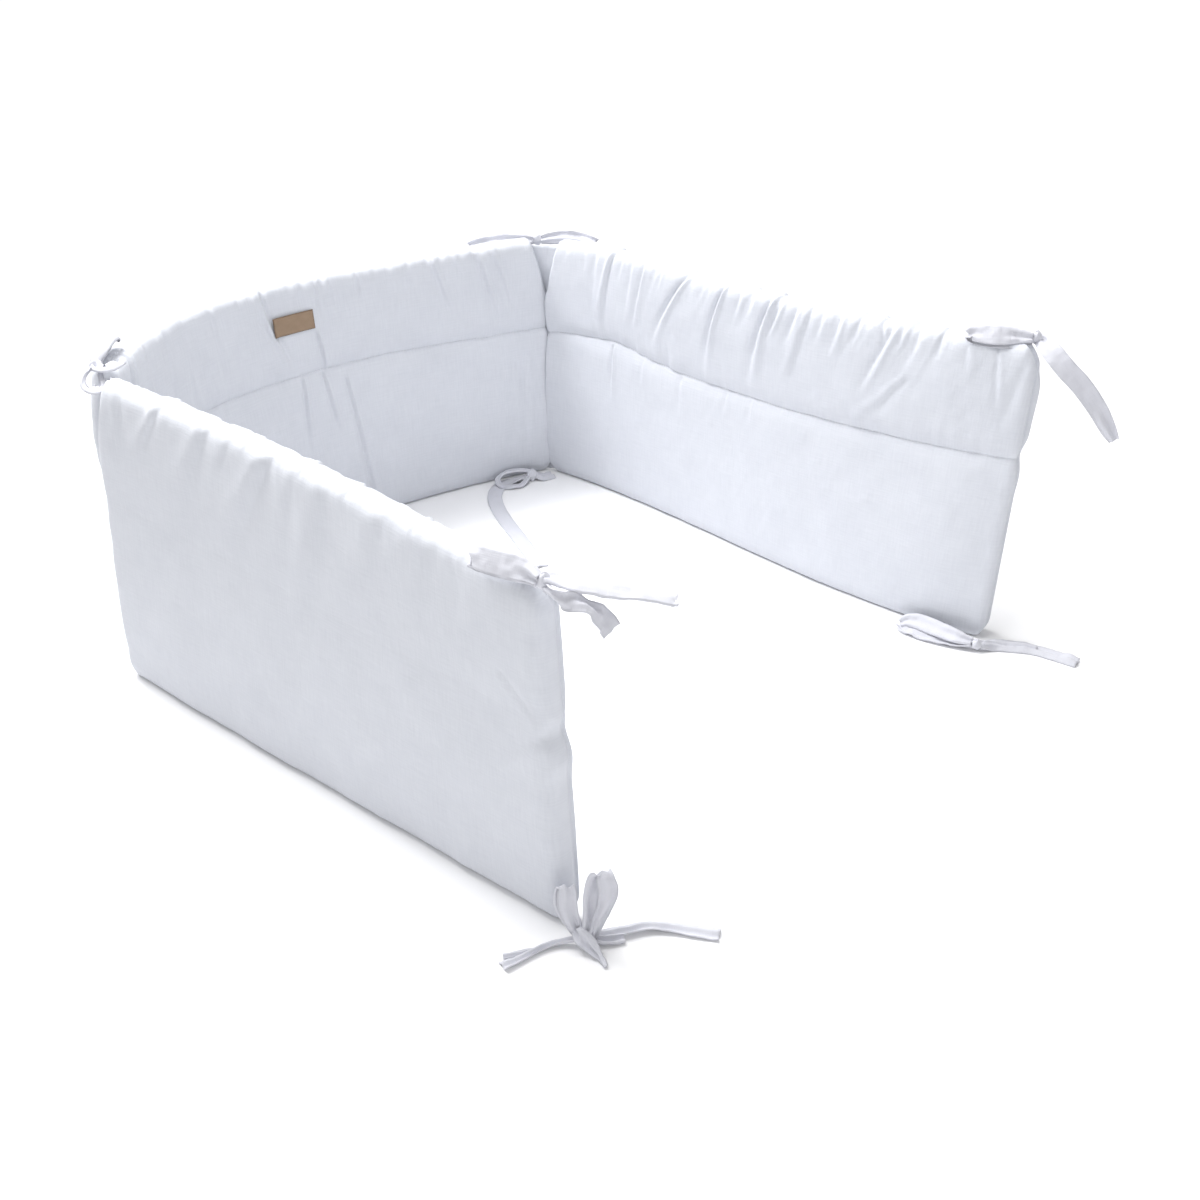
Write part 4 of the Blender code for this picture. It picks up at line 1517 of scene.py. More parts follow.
@dataclass(frozen=True)
class Strand:
    """One ribbon end or loop.

    Attributes:
        across: direction of the ribbon's width, or None for one that lies flat.
        stops: rows of x, y and z from the knot, width and twist, in millimetres and degrees.
    """

    across: tuple[float, float, float] | None
    stops: tuple[tuple[float, float, float, float, float], ...]

    def smooth(self, per_stop: int = 9) -> Array:
        """A smooth curve drawn through the stops.

        Args:
            per_stop: rows from one stop to the next.

        Returns:
            Rows like the stops.
        """
        stops = np.array(self.stops, float)
        ahead = np.concatenate([2 * stops[:1] - stops[1:2], stops, 2 * stops[-1:] - stops[-2:-1]])
        share = np.linspace(0.0, 1.0, per_stop, endpoint=False)[:, None]
        rows = [self.blend(ahead[index : index + 4], share) for index in range(len(stops) - 1)]
        return np.concatenate([*rows, stops[-1:]])

    @staticmethod
    def blend(four: Array, share: Array) -> Array:
        """Rows of a Catmull-Rom curve between the second and the third of four rows.

        Args:
            four: the four rows.
            share: shares of the way from the second row to the third.

        Returns:
            Rows, one for each share.
        """
        first, second, third, fourth = four
        straight = 2 * second + (third - first) * share
        bent = (2 * first - 5 * second + 4 * third - fourth) * share**2
        turned = (3 * second - first - 3 * third + fourth) * share**3
        return (straight + bent + turned) / 2


@dataclass
class Tie:
    """A knot and the ribbons that come out of it, in millimetres.

    Attributes:
        name: the piece's name.
        node: the solid that it replaces.
        knot: centre of the knot.
        radii: half the knot's size in x, y and z.
        strands: its ribbon ends and loops.
        seed: seed of its crumples.
        tape: width of the flat ribbon.
        thickness: thickness of the ribbon.
        columns: number of points across a ribbon's face.
        knot_rings: number of the knot's level rings.
        knot_sides: number of points in each.
        least_width: the narrowest that a ribbon is gathered.
        lowest: height that nothing goes below.
        in_knot: length of ribbon that the knot holds.
        selvedge: where a ribbon's thicker edge begins, as a share of half its width.
        selvedge_swell: how much thicker that edge is.
        pleat_depth: depth of the pleats in a gathered ribbon, as a share of its width.
        most_spare: share of spare width above which the pleats don't deepen.
        pleat_waves: number of half waves from a ribbon's middle to its edge.
        pleat_sink: how far the pleats sit below the ribbon's plane.
        cup: how far a ribbon's edges curl up, as a share of its width.
        cup_sink: how far its middle sinks for that.
        crumples: a ribbon's unevenness, by distance along it and share of half its width.
        ribbon_seeds: what the seeds of two ties' ribbons differ by.
        apart: distance between two ribbons on the flat cloth.
        wraps: height of the ribbon's turns round the knot, as a share of the knot's size.
        creases: height of the creases across them.
        lumps: the knot's unevenness.
        knot_seeds: what the seeds of two knots differ by.
        knot_cloth: length of cloth for each radian round the knot.
    """

    name: str
    node: str
    knot: tuple[float, float, float]
    radii: tuple[float, float, float]
    strands: tuple[Strand, ...]
    seed: int = 1
    tape: float = 17.0
    thickness: float = 1.1
    columns: int = 11
    knot_rings: int = 20
    knot_sides: int = 28
    least_width: float = 1.2
    lowest: float = 0.2
    in_knot: float = 30.0

    selvedge: ClassVar[float] = 0.88
    selvedge_swell: ClassVar[float] = 0.25
    pleat_depth: ClassVar[float] = 0.20
    most_spare: ClassVar[float] = 1.2
    pleat_waves: ClassVar[float] = 1.5
    pleat_sink: ClassVar[float] = 0.3
    cup: ClassVar[float] = 0.05
    cup_sink: ClassVar[float] = 0.4
    crumples: ClassVar[tuple[Ripple, ...]] = (
        Ripple(0.8, (0.009, 0.875)),
        Ripple(0.35, (0.006 / 1.7, 0.45)),
    )
    ribbon_seeds: ClassVar[int] = 31
    apart: ClassVar[int] = 40
    wraps: ClassVar[float] = 0.09
    creases: ClassVar[float] = 0.05
    lumps: ClassVar[Ripple] = Ripple(0.06, (0.7, 0.7), 2)
    knot_seeds: ClassVar[int] = 7
    knot_cloth: ClassVar[float] = 6.0

    def build(self, cotton: bpy.types.Material) -> list[bpy.types.Object]:
        """Make the tie and tie it to the frame.

        Args:
            cotton: its finish.

        Returns:
            The tie.
        """
        points, faces, cloth = self.knot_shell()
        length = self.in_knot * MILLIMETRE
        for number, strand in enumerate(self.strands):
            rings, places, run = self.ribbon(strand, number)
            faces += tube_faces(len(rings), 2 * self.columns, len(points))
            points = np.concatenate([points, rings.reshape(-1, 3)])
            cloth = np.concatenate([cloth, places.reshape(-1, 2)])
            length += run
        tie = mesh_object(self.name, points, faces, cloth, cotton)
        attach(tie, ROOT)
        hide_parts(self.node)
        return [tie]

    def ribbon(self, strand: Strand, number: int) -> tuple[Array, Array, float]:
        """A ribbon swept along its route, pleated where it is narrow.

        Args:
            strand: the route.
            number: which ribbon of the tie it is.

        Returns:
            Rings of points round the ribbon, their places on the cloth in millimetres, and the
            ribbon's length in metres.
        """
        rows = strand.smooth()
        centres = (np.array(self.knot) + rows[:, :3]) * MILLIMETRE
        steps = np.linalg.norm(np.diff(centres, axis=0), axis=1)
        walked = np.concatenate(([0.0], np.cumsum(steps)))[:, None]
        along = unit(np.gradient(centres, axis=0))
        guide = np.full(along.shape, strand.across) if strand.across else np.cross(along, UPRIGHT)
        flat = unit(guide - along * (guide * along).sum(axis=1, keepdims=True))
        twist = np.radians(rows[:, 4:5])
        across = flat * np.cos(twist) + np.cross(along, flat) * np.sin(twist)
        thick = np.cross(along, across)
        shares = np.linspace(-1.0, 1.0, self.columns)
        width = np.maximum(self.least_width, rows[:, 3:4])
        level = self.pleats(shares, width, number)
        seed = self.seed * self.ribbon_seeds + number
        level = level + sum(ripple.at(walked, shares, seed) for ripple in self.crumples)
        body = self.thickness / 2 * (1.0 + self.selvedge_swell * (np.abs(shares) > self.selvedge))
        middle = centres[:, None] + across[:, None] * (shares * width / 2 * MILLIMETRE)[..., None]
        rises = [(level + face * body) * MILLIMETRE for face in (1, -1)]
        front, back = (middle + thick[:, None] * rise[..., None] for rise in rises)
        rings = np.concatenate([front, back[:, ::-1]], axis=1)
        lift = np.maximum(0.0, self.lowest * MILLIMETRE - rings[..., 2].min(axis=1))
        rings[..., 2] += lift[:, None]
        order = np.concatenate([shares, shares[::-1]]) * self.tape / 2
        places = np.stack(np.broadcast_arrays(order, walked / MILLIMETRE + self.apart * number), axis=-1)
        return rings, places, float(walked[-1, 0])

    def pleats(self, shares: Array, width: Array, number: int) -> Array:
        """How the ribbon folds into waves where it is gathered, and cups a little.

        Args:
            shares: places across the ribbon, -1 to 1.
            width: width of the gathered ribbon at each ring.
            number: which ribbon of the tie it is.

        Returns:
            Offsets out of the ribbon's plane, in millimetres.
        """
        spare = np.clip(self.tape / width - 1.0, 0.0, self.most_spare)
        waves = np.cos(shares * math.pi * self.pleat_waves + number) - self.pleat_sink
        return width * (self.pleat_depth * np.sqrt(spare) * waves + self.cup * (shares**2 - self.cup_sink))

    def knot_shell(self) -> tuple[Array, list[tuple[int, ...]], Array]:
        """The knot: a rounded bundle with the ribbon's turns across it.

        Returns:
            Points, faces, and places on the cloth in millimetres.
        """
        turns = np.linspace(0.0, 2 * math.pi, self.knot_sides, endpoint=False)
        turn, lean = np.meshgrid(turns, np.linspace(0.0, math.pi, self.knot_rings + 1))
        ball = np.stack([np.sin(lean) * np.cos(turn), np.sin(lean) * np.sin(turn), np.cos(lean)], axis=-1)
        fold = self.wraps * np.cos(3 * turn + 2.2 * lean) + self.creases * np.cos(5 * lean + turn)
        fold += self.lumps.at(turn, lean, self.seed * self.knot_seeds)
        points = np.array(self.knot) + ball * np.array(self.radii) * (1.0 + fold[..., None])
        points[..., 2] = np.maximum(points[..., 2], self.lowest)
        faces = [(face[0], *face[:0:-1]) for face in tube_faces(self.knot_rings + 1, self.knot_sides)[1:-1]]
        cloth = np.stack([turn, lean], axis=-1) * self.knot_cloth
        return points.reshape(-1, 3) * MILLIMETRE, faces, cloth.reshape(-1, 2)


# ---------------------------------------------------------------- studio


@dataclass(frozen=True)
class Softbox:
    """A square soft light aimed at a point.

    Attributes:
        name: the light's name.
        power: its power in watts.
        size: length of its sides.
        place: where it hangs.
        target: what it is aimed at.
    """

    name: str
    power: float
    size: float
    place: tuple[float, float, float]
    target: tuple[float, float, float]

    def build(self) -> None:
        """Hang the softbox."""
        softbox = bpy.data.lights.new(self.name, "AREA")
        softbox.energy = self.power
        softbox.shape = "SQUARE"
        softbox.size = self.size
        hang(softbox, self.place, self.target)


def hang(light: bpy.types.Light, place: Sequence[float], target: Sequence[float]) -> None:
    """Put a light in place, aimed at a point.

    Args:
        light: the light.
        place: where it hangs.
        target: what it is aimed at.
    """
    lamp = bpy.data.objects.new(light.name, light)
    aim = Vector(target) - Vector(place)
    lamp.rotation_euler = aim.to_track_quat("-Z", "Y").to_euler()
    lamp.location = place
    bpy.context.scene.collection.objects.link(lamp)


@dataclass
class Studio:
    """Camera, floor and soft light.

    Attributes:
        place: the camera's place.
        heading: level direction that it looks in.
        pitch: how far it looks down, in degrees.
        roll: how far it leans to the side, in degrees.
        lens: focal length in millimetres.
        sensor: width of the sensor in millimetres.
        floor_half: half the floor's width.
        sky: strength of the even light.
        sun: strength of the soft light from above.
        sun_angle: its apparent size, in degrees.
        sun_place: where it comes from.
        softboxes: the lights over the U and beside it.
    """

    place: tuple[float, float, float] = (-0.8955, -0.8356, 0.798)
    heading: tuple[float, float] = (0.756, 0.655)
    pitch: float = 31.09
    roll: float = -0.89
    lens: float = 44.97
    sensor: float = 36.0
    floor_half: float = 12.0
    sky: float = 0.53
    sun: float = 2.15
    sun_angle: float = 30.0
    sun_place: tuple[float, float, float] = (0.0, 1.2, 2.2)
    softboxes: tuple[Softbox, ...] = (
        Softbox("raking_softbox", 8.0, 0.30, (-0.12, 0.62, 1.05), (0.2, -0.1, 0.15)),
        Softbox("inner_softbox", 3.4, 0.35, (-0.08, -0.12, 1.1), (0.05, 0.1, 0.0)),
        Softbox("side_softbox", 0.95, 0.30, (-0.75, -0.80, 0.60), (-0.30, -0.15, 0.15)),
    )

    def build(self) -> None:
        """Set the studio up."""
        self.camera()
        self.floor()
        self.lights()

    def camera(self) -> None:
        """A camera at the photograph's viewing angle."""
        data = bpy.data.cameras.new("studio_camera")
        data.sensor_width = self.sensor
        data.lens = self.lens
        camera = bpy.data.objects.new("studio_camera", data)
        flat = Vector((*self.heading, 0.0)).normalized()
        down, lean = math.radians(self.pitch), math.radians(self.roll)
        forward = flat * math.cos(down) - Vector((0.0, 0.0, math.sin(down)))
        right = Vector((flat.y, -flat.x, 0.0))
        up = right.cross(forward)
        leaned_right = right * math.cos(lean) + up * math.sin(lean)
        leaned_up = up * math.cos(lean) - right * math.sin(lean)
        turn = Matrix((leaned_right, leaned_up, -forward)).transposed()
        camera.matrix_world = Matrix.Translation(self.place) @ turn.to_4x4()
        bpy.context.scene.collection.objects.link(camera)
        bpy.context.scene.camera = camera

    def floor(self) -> None:
        """A wide pale floor."""
        half = self.floor_half
        corners = [(-half, -half, 0.0), (half, -half, 0.0), (half, half, 0.0), (-half, half, 0.0)]
        floor = mesh_object("studio_floor", corners, [(0, 1, 2, 3)], [(0, 0)] * 4, FloorFinish().make())

    def lights(self) -> None:
        """Even light from the sky, a soft light from above and the softboxes."""
        world = bpy.data.worlds.new("studio_sky")
        world.use_nodes = True
        sky = world.node_tree.nodes["Background"]
        sky.inputs["Color"].default_value = (1.0, 1.0, 1.0, 1.0)
        sky.inputs["Strength"].default_value = self.sky
        bpy.context.scene.world = world
        bpy.context.scene.view_settings.view_transform = "Standard"
        above = bpy.data.lights.new("light_above", "SUN")
        above.energy = self.sun
        above.angle = math.radians(self.sun_angle)
        hang(above, self.sun_place, (0.0, 0.0, 0.0))
        for softbox in self.softboxes:
            softbox.build()


# ---------------------------------------------------------------- this bumper's own sizes

CENTRE = (0.01037822, -0.00883283)  # from the plans' own origin to the frame's

NEAR_END = EndSeam(
    top_draw=0.013,
    top_reach=0.022,
    foot_draw=0.007,
    foot_reach=0.016,
    inner_reach=0.015,
    blunt=4.0,
    pinch=0.0028,
    pinch_height=0.172,
    shift=0.006,
    groove=2.2,
    thin=0.62,
)
FAR_END = EndSeam(
    top_draw=0.013,
    top_reach=0.022,
    foot_draw=0.007,
    foot_reach=0.016,
    inner_reach=0.012,
    blunt=3.0,
    pinch=0.0015,
    outer_lean=0.009,
    groove=5.0,
    thin=0.3,
)
HINGED_END = EndSeam(
    top_draw=0.016,
    top_reach=0.080,
    foot_draw=0.004,
    foot_reach=0.022,
    inner_reach=0.006,
    blunt=2.3,
    inner_lean=0.005,
)

# The folds of each face. A row holds a fold's sizes in their own order: top_x, top_z, low_x, low_z,
# bend, depth and width, and where they aren't the usual ones, ridge, side and steep.
FAR_INNER = (
    Fold(60, 304, 57, 262, 0, 0.8, 4),
    Fold(75, 304, 66, 190, 0, 1.3, 8),
    Fold(103, 304, 89, 188, -6, 2.4, 5, 0.8, -1),
    Fold(118, 304, 108, 262, 0, 1.0, 4),
    Fold(134, 304, 115, 205, 0, 1.3, 6),
    Fold(152, 304, 127, 200, 0, 1.7, 4, 0.8, 1),
    Fold(180, 304, 166, 262, 0, 1.1, 4),
    Fold(217, 304, 157, 198, -6, 2.8, 5, 0.8, 1),
    Fold(240, 304, 227, 268, 0, 0.9, 4),
    Fold(264, 304, 237, 188, -6, 2.8, 4.5, 0.9, 1),
    Fold(285, 304, 275, 262, 0, 1.2, 4),
    Fold(300, 304, 292, 270, 0, 0.9, 3.5),
    Fold(321, 304, 295, 188, -5, 3.6, 5.5, 0.9, 1),
    Fold(334, 304, 315, 250, 0, 2.0, 3.5, 0.8, 1),
    Fold(352, 304, 337, 248, 0, 2.0, 4.5, 0.7, 1),
    Fold(366, 304, 344, 200, 0, 1.5, 6, 0.9, -1),
    Fold(380, 304, 370, 258, 0, 1.1, 4),
    Fold(399, 304, 386, 250, 0, 1.7, 4, 0.8, 1),
    Fold(418, 304, 409, 268, 0, 1.0, 3.5),
    Fold(438, 304, 443, 268, 0, 1.5, 3),
    Fold(453, 304, 419, 218, 0, 1.8, 4.5, 0.9, 1),
    Fold(462, 304, 454, 275, 0, 1.3, 3),
    Fold(470, 252, 432, 194, 0, 1.3, 8, 0.8, -1),
    Fold(475, 304, 472, 272, 0, 1.1, 3),
    Fold(497, 304, 493, 268, 0, 0.9, 4),
    Fold(520, 304, 523, 262, 0, 1.0, 5),
    Fold(546, 304, 558, 226, 0, 1.7, 3.5, 0.3, 1),
    Fold(578, 298, 560, 206, 0, 1.6, 7, 0.0, 1),
    Fold(100, 188, 96, 114, 0, 2.0, 4, 0.7, 1),
    Fold(148, 184, 144, 148, 0, 0.8, 4),
    Fold(205, 181, 201, 128, 0, 0.9, 6),
    Fold(268, 183, 264, 150, 0, 0.7, 4),
    Fold(300, 184, 296, 146, 0, 0.8, 5),
)
HEAD_INNER = (
    Fold(57, 304, 34, 196, -7, 3.8, 4, 0.7, 1),
    Fold(66, 304, 44, 214, -6, 2.4, 3.5),
    Fold(86, 304, 96, 205, 0, 1.4, 7, 0.7, -1),
    Fold(127, 304, 120, 205, 0, 1.1, 8),
    Fold(152, 240, 153, 188, 0, 1.1, 5),
    Fold(197, 296, 195, 192, 0, 1.0, 8),
    Fold(261, 299, 294, 186, -5, 2.5, 4, 0.7, -1),
    Fold(252, 270, 280, 200, 0, 1.2, 5, 0.7, -1),
    Fold(294, 190, 286, 92, 0, 2.4, 3.5, 0.7, 1),
    Fold(324, 298, 321, 250, 0, 1.6, 3),
    Fold(317, 240, 324, 170, 0, 2.6, 3.5, 0.7, 1),
    Fold(319, 189, 328, 100, 0, 2.5, 3.5, 0.7, 1),
    Fold(344, 182, 371, -70, 0, 2.6, 4),
    Fold(372, 302, 370, 248, 0, 1.2, 3),
    Fold(340, 302, 346, 240, 0, 1.1, 5, 0.7, -1),
    Fold(454, 304, 478, 205, 0, 1.7, 5, 0.8, 1),
    Fold(480, 304, 490, 255, 0, 1.0, 4),
    Fold(507, 304, 534, 186, 0, 2.6, 4.5, 0.8, 1),
    Fold(525, 304, 552, 190, 0, 2.0, 4.5, 0.7, 1),
    Fold(548, 156, 539, 10, 0, 1.3, 7),
    Fold(562, 168, 557, 16, 0, 1.0, 6),
)
NEAR_INNER = (
    Fold(70, 304, 92, 205, 4, 1.4, 5),
    Fold(128, 304, 150, 196, 0, 2.0, 5, 0.7, 1),
    Fold(205, 304, 236, 210, 5, 1.6, 5),
    Fold(262, 304, 281, 192, 0, 2.4, 5, 0.7, 1),
    Fold(330, 304, 352, 200, 6, 1.6, 5),
    Fold(392, 304, 405, 230, 0, 1.4, 5),
    Fold(448, 304, 470, 196, 0, 2.2, 5, 0.7, 1),
    Fold(505, 304, 512, 215, 0, 1.6, 5),
    Fold(300, 178, 306, 90, 0, 1.2, 9, 0.5, 1),
)
NEAR_OUTER = (
    Fold(514, 304, 500, 256, 0, 1.8, 7, 0.4, 1, 0.7),
    Fold(448, 304, 480, 244, 0, 2.0, 10, 0.5, 1, 0.7),
    Fold(380, 306, 426, 204, 0, 2.4, 17, 0.6, 1, 0.7),
    Fold(350, 304, 374, 250, 0, 0.8, 9, 0.4, 1, 0.8),
    Fold(294, 308, 354, 196, 0, 2.8, 19, 0.7, 1, 0.7),
    Fold(266, 304, 300, 176, 0, 0.9, 13, 0.4, 1, 0.9),
    Fold(224, 308, 262, 150, 0, 1.5, 22, 0.7, 1, 0.8),
    Fold(156, 308, 190, 196, 0, 1.4, 19, 0.7, 1, 0.8),
    Fold(96, 308, 124, 210, 0, 0.9, 16, 0.5, 1, 0.9),
    Fold(-6, 182, 72, 118, 0, 1.7, 12, 1.0, -1),
    Fold(44, 220, -8, 168, 0, 1.1, 9),
    Fold(110, 120, 190, 40, 0, 1.0, 26),
)
PLAIN_OUTER = (
    Fold(110, 296, 118, 225, 0, 1.4, 7),
    Fold(236, 296, 228, 215, 4, 1.8, 7, 0.6, -1),
    Fold(352, 296, 366, 230, 0, 1.6, 7),
    Fold(470, 296, 462, 222, 0, 1.4, 8, 0.6, -1),
)

# Directions of a ribbon's width: standing up, and level across the open end of the near pad.
STANDING = (0.39, 0.34, 0.86)
CROSSWISE = (0.66, -0.76, 0.00)

# The ties. Each row of a strand holds x, y and z from the knot, width and twist.
TIES = (
    Tie(
        "near_top_tie",
        "tie_near_top",
        (-288, -243, 301),
        (4.5, 4.5, 6.5),
        (
            Strand(None, (  # long tail
                (0, 0, 1, 8, 0), (3, -5, 3, 14, 8), (10, -19, 2, 18, 10),
                (23, -34, -3, 18, 8), (43, -47, -11, 18, 6), (61, -57, -19, 18, 6),
                (65, -61, -21, 16, 6),
            )),
            Strand(STANDING, (  # short tail, turned over
                (-3, -2, -2, 7, 0), (-5, -12, -3, 11, 35), (-5, -22, -4, 14, 20),
                (1, -29, -6, 13, -30), (7, -34, -10, 12, -50), (11, -38, -16, 16, -10),
                (15, -40, -23, 17, 0), (17, -43, -30, 16, 0),
            )),
            Strand(STANDING, (  # loop on the pad
                (-3, 2, 2, 9, 0), (-3, 11, 4, 14, 0), (-7, 22, 6, 17, 0),
                (-11, 34, 7, 17, 0), (-13, 45, 7, 17, 0), (-11, 55, 5, 16, 0),
                (-9, 50, 3, 17, 0), (-7, 36, 3, 17, 0), (-4, 24, 2, 16, 0),
                (-1, 14, 0, 13, 0), (-2, 4, -2, 8, 0),
            )),
        ),
    ),
    Tie(
        "near_foot_tie",
        "tie_near_foot",
        (-294, -275, 8),
        (5.5, 5, 6),
        (
            Strand(CROSSWISE, (  # standing loop
                (1, -2, 5, 8, 0), (6, -2, 18, 11, 0), (9, -1, 32, 13, 0),
                (13, -2, 46, 15, 0), (15, -4, 54, 14, 8), (15, -8, 58, 12, 14),
                (13, -12, 55, 14, 10), (13, -14, 46, 15, 0), (11, -13, 33, 12, 0),
                (8, -9, 19, 10, 0), (5, -7, 8, 8, 0), (2, -6, -1, 6, 0),
            )),
            Strand(CROSSWISE, (  # loop beside the pad
                (1, 4, 4, 8, 0), (-1, 11, 14, 13, 0), (-2, 16, 26, 16, 0),
                (1, 18, 36, 15, -6), (0, 16, 41, 11, -12), (-1, 14, 38, 14, -6),
                (-3, 12, 26, 15, 0), (-3, 8, 13, 12, 0), (-2, 4, 3, 8, 0),
            )),
            Strand(None, (  # left tail
                (-3, 4, -1, 6, 0), (-9, 12, -4, 6, 15), (-17, 19, -6, 7, 0),
                (-28, 23, -7, 7, 0), (-42, 27, -7, 9, 0), (-55, 31, -7, 11, 0),
            )),
            Strand(None, (  # left tail's loose edge
                (-26, 23, -6, 5, 0), (-37, 30, -7, 5, 0), (-47, 38, -7, 5, 0),
            )),
            Strand(None, (  # right tail
                (5, -1, -1, 5, 0), (16, -7, -2, 7, 15), (29, -16, -3, 9, 12),
                (45, -26, -4, 11, 0), (56, -40, -6, 12, 0), (65, -57, -7, 13, 0),
                (73, -72, -7, 13, 0),
            )),
            Strand(STANDING, (  # front fold
                (-3, 4, 9, 8, 0), (-4, -1, 6, 12, 0), (-3, -7, 2, 12, 0),
                (-3, -14, -2, 8, 0), (-4, -21, -5, 4, 0), (-7, -28, -6, 2, 0),
            )),
            Strand(None, (  # second tail
                (5, -3, -2, 6, 0), (11, -9, -5, 9, 0), (18, -15, -6, 10, 0),
                (24, -20, -6, 8, 0),
            )),
        ),
    ),
    Tie(
        "left_top_tie",
        "tie_left_top",
        (-260, 314, 301),
        (6, 6, 6),
        (
            Strand(None, (  # tail over the corner
                (-2, -3, 1, 8, 0), (-5, -17, 3, 13, 0), (-1, -23, 4, 15, 0),
                (14, -15, 3, 15, 0),
            )),
            Strand((0.66, -0.75, 0.00), (  # rising loop
                (1, 1, 3, 8, 0), (10, 10, 6, 13, 0), (24, 22, 6, 14, 0),
                (39, 34, 6, 13, 0), (47, 42, 2, 13, 0), (39, 39, 0, 13, 0),
                (23, 24, -1, 12, 0), (6, 7, -2, 7, 0),
            )),
            Strand((0.49, 0.87, 0.00), (  # hanging loop
                (-4, 0, 1, 7, 0), (-15, -6, -3, 10, 0), (-21, -16, -8, 12, 0),
                (-19, -24, -10, 12, 0), (-12, -24, -8, 10, 0), (-3, -11, -2, 7, 0),
            )),
        ),
    ),
    Tie(
        "left_foot_tie",
        "tie_left_foot",
        (-246, 287, 7),
        (6.5, 6.5, 6),
        (
            Strand((1.00, 0.05, 0.00), (  # loop along the near panel
                (0, -6, 2, 9, 0), (1, -21, 3, 15, 0), (3, -39, 3, 16, 0),
                (3, -46, 0, 16, 0), (2, -39, -2, 16, 0), (0, -23, -3, 15, 0),
                (0, -7, -2, 9, 0),
            )),
            Strand((-0.39, 0.92, 0.00), (  # loop along the head panel
                (5, 3, 2, 9, 0), (20, 10, 3, 15, 0), (36, 17, 3, 16, 0),
                (43, 19, 0, 16, 0), (36, 16, -2, 16, 0), (20, 9, -3, 15, 0),
                (5, 2, -2, 9, 0),
            )),
            Strand(None, (  # first tail
                (3, -5, -1, 9, 0), (10, -17, -4, 14, 0), (18, -32, -6, 16, 0),
                (24, -49, -6, 17, 0),
            )),
            Strand(None, (  # second tail
                (6, -3, -1, 9, 0), (18, -5, -4, 14, 0), (34, -4, -6, 16, 0),
                (52, -8, -6, 17, 0),
            )),
        ),
    ),
    Tie(
        "right_top_tie",
        "tie_right_top",
        (287, 291, 282),
        (6, 6, 6),
        (
            Strand(STANDING, (  # left loop
                (-7, -0, 1, 8, 0), (-17, 9, 3, 11, 0), (-34, 20, 5, 12, 0),
                (-47, 31, 4, 12, 0), (-63, 39, 3, 9, 0), (-64, 41, 1, 8, 0),
                (-42, 38, -1, 11, 0), (-25, 27, -1, 11, 0), (-10, 15, -1, 10, 0),
                (-5, 2, -1, 7, 0),
            )),
            Strand(STANDING, (  # right loop
                (-1, -7, 1, 8, 0), (5, -18, 4, 11, 0), (13, -33, 6, 13, 0),
                (21, -47, 5, 12, 0), (26, -60, 3, 9, 0), (28, -62, 1, 8, 0),
                (30, -40, -1, 11, 0), (23, -22, -1, 11, 0), (11, -13, -1, 10, 0),
                (1, -5, -1, 7, 0),
            )),
        ),
    ),
    Tie(
        "right_foot_tie",
        "tie_right_foot",
        (253, 282, 7),
        (7, 6, 7),
        (
            Strand(None, (  # ring loop
                (-7, -2, 0, 6, 0), (-21, -3, -5, 7, 0), (-33, 4, -6, 7, 0),
                (-39, 14, -4, 7, 0), (-36, 20, 2, 7, 0), (-24, 17, 7, 7, 0),
                (-10, 9, 6, 7, 0), (-1, 2, 4, 6, 0),
            )),
            Strand(None, (  # long tail
                (-7, 2, -1, 10, 0), (-17, 11, -4, 14, 0), (-31, 17, -6, 16, 0),
                (-46, 13, -6, 17, 0), (-64, -1, -6, 17, 0), (-82, -25, -6, 17, 0),
                (-99, -55, -6, 17, 0), (-114, -85, -6, 17, 0), (-128, -111, -6, 17, 0),
                (-139, -132, -6, 17, 0), (-148, -150, -6, 17, 0),
            )),
            Strand(None, (  # short tail
                (5, -3, -1, 10, 0), (12, -9, -4, 13, 0), (24, -13, -6, 14, 0),
            )),
        ),
    ),
    Tie(
        "far_top_tie",
        "tie_far_top",
        (308, -296, 302),
        (5, 4.5, 6),
        (
            Strand(STANDING, (  # loop on the pad
                (-6, 1, 1, 9, 0), (-11, 11, 2, 14, 0), (-21, 23, 3, 17, 0),
                (-27, 34, 3, 17, 0), (-29, 46, 2, 15, 0), (-32, 50, 1, 13, 0),
                (-28, 45, -1, 15, 0), (-25, 33, -1, 16, 0), (-20, 19, -1, 15, 0),
                (-12, 9, -1, 12, 0), (-7, -0, -1, 7, 0),
            )),
            Strand((0.58, -0.66, 0.47), (  # long tail
                (4, 1, -1, 10, -10), (-8, -18, -5, 17, 0), (-8, -34, -18, 18, 0),
                (-2, -49, -33, 18, 0), (6, -63, -53, 17, 0), (9, -75, -71, 14, 0),
                (10, -82, -81, 9, 0),
            )),
        ),
    ),
    Tie(
        "far_foot_tie",
        "tie_far_foot",
        (253, -304, 7),
        (5.5, 5, 5.5),
        (
            Strand((0.62, 0.54, 0.57), (  # loop's upper run
                (-2, 4, 2, 9, 0), (-6, 20, 4, 14, 0), (-5, 43, 4, 16, 0),
                (-4, 62, 3, 16, 0), (-6, 73, 1, 13, 0), (-9, 78, -3, 10, 0),
            )),
            Strand(None, (  # loop's lower run
                (-3, 3, -1, 8, 0), (-7, 20, -5, 12, 0), (-12, 42, -6, 13, 0),
                (-14, 62, -6, 13, 0), (-13, 73, -6, 12, 0), (-10, 79, -4, 9, 0),
            )),
            Strand(None, (  # long tail
                (2, -3, -1, 9, 0), (14, -12, -4, 13, 0), (24, -26, -6, 15, 0),
                (33, -44, -6, 15, 0), (36, -65, -6, 14, 0), (38, -87, -6, 14, 0),
            )),
            Strand(None, (  # upper tail
                (4, -4, 1, 7, 0), (15, -11, -2, 10, 0), (26, -22, -4, 11, 0),
                (33, -36, -4, 10, 0), (36, -46, -4, 5, 0),
            )),
        ),
    ),
)


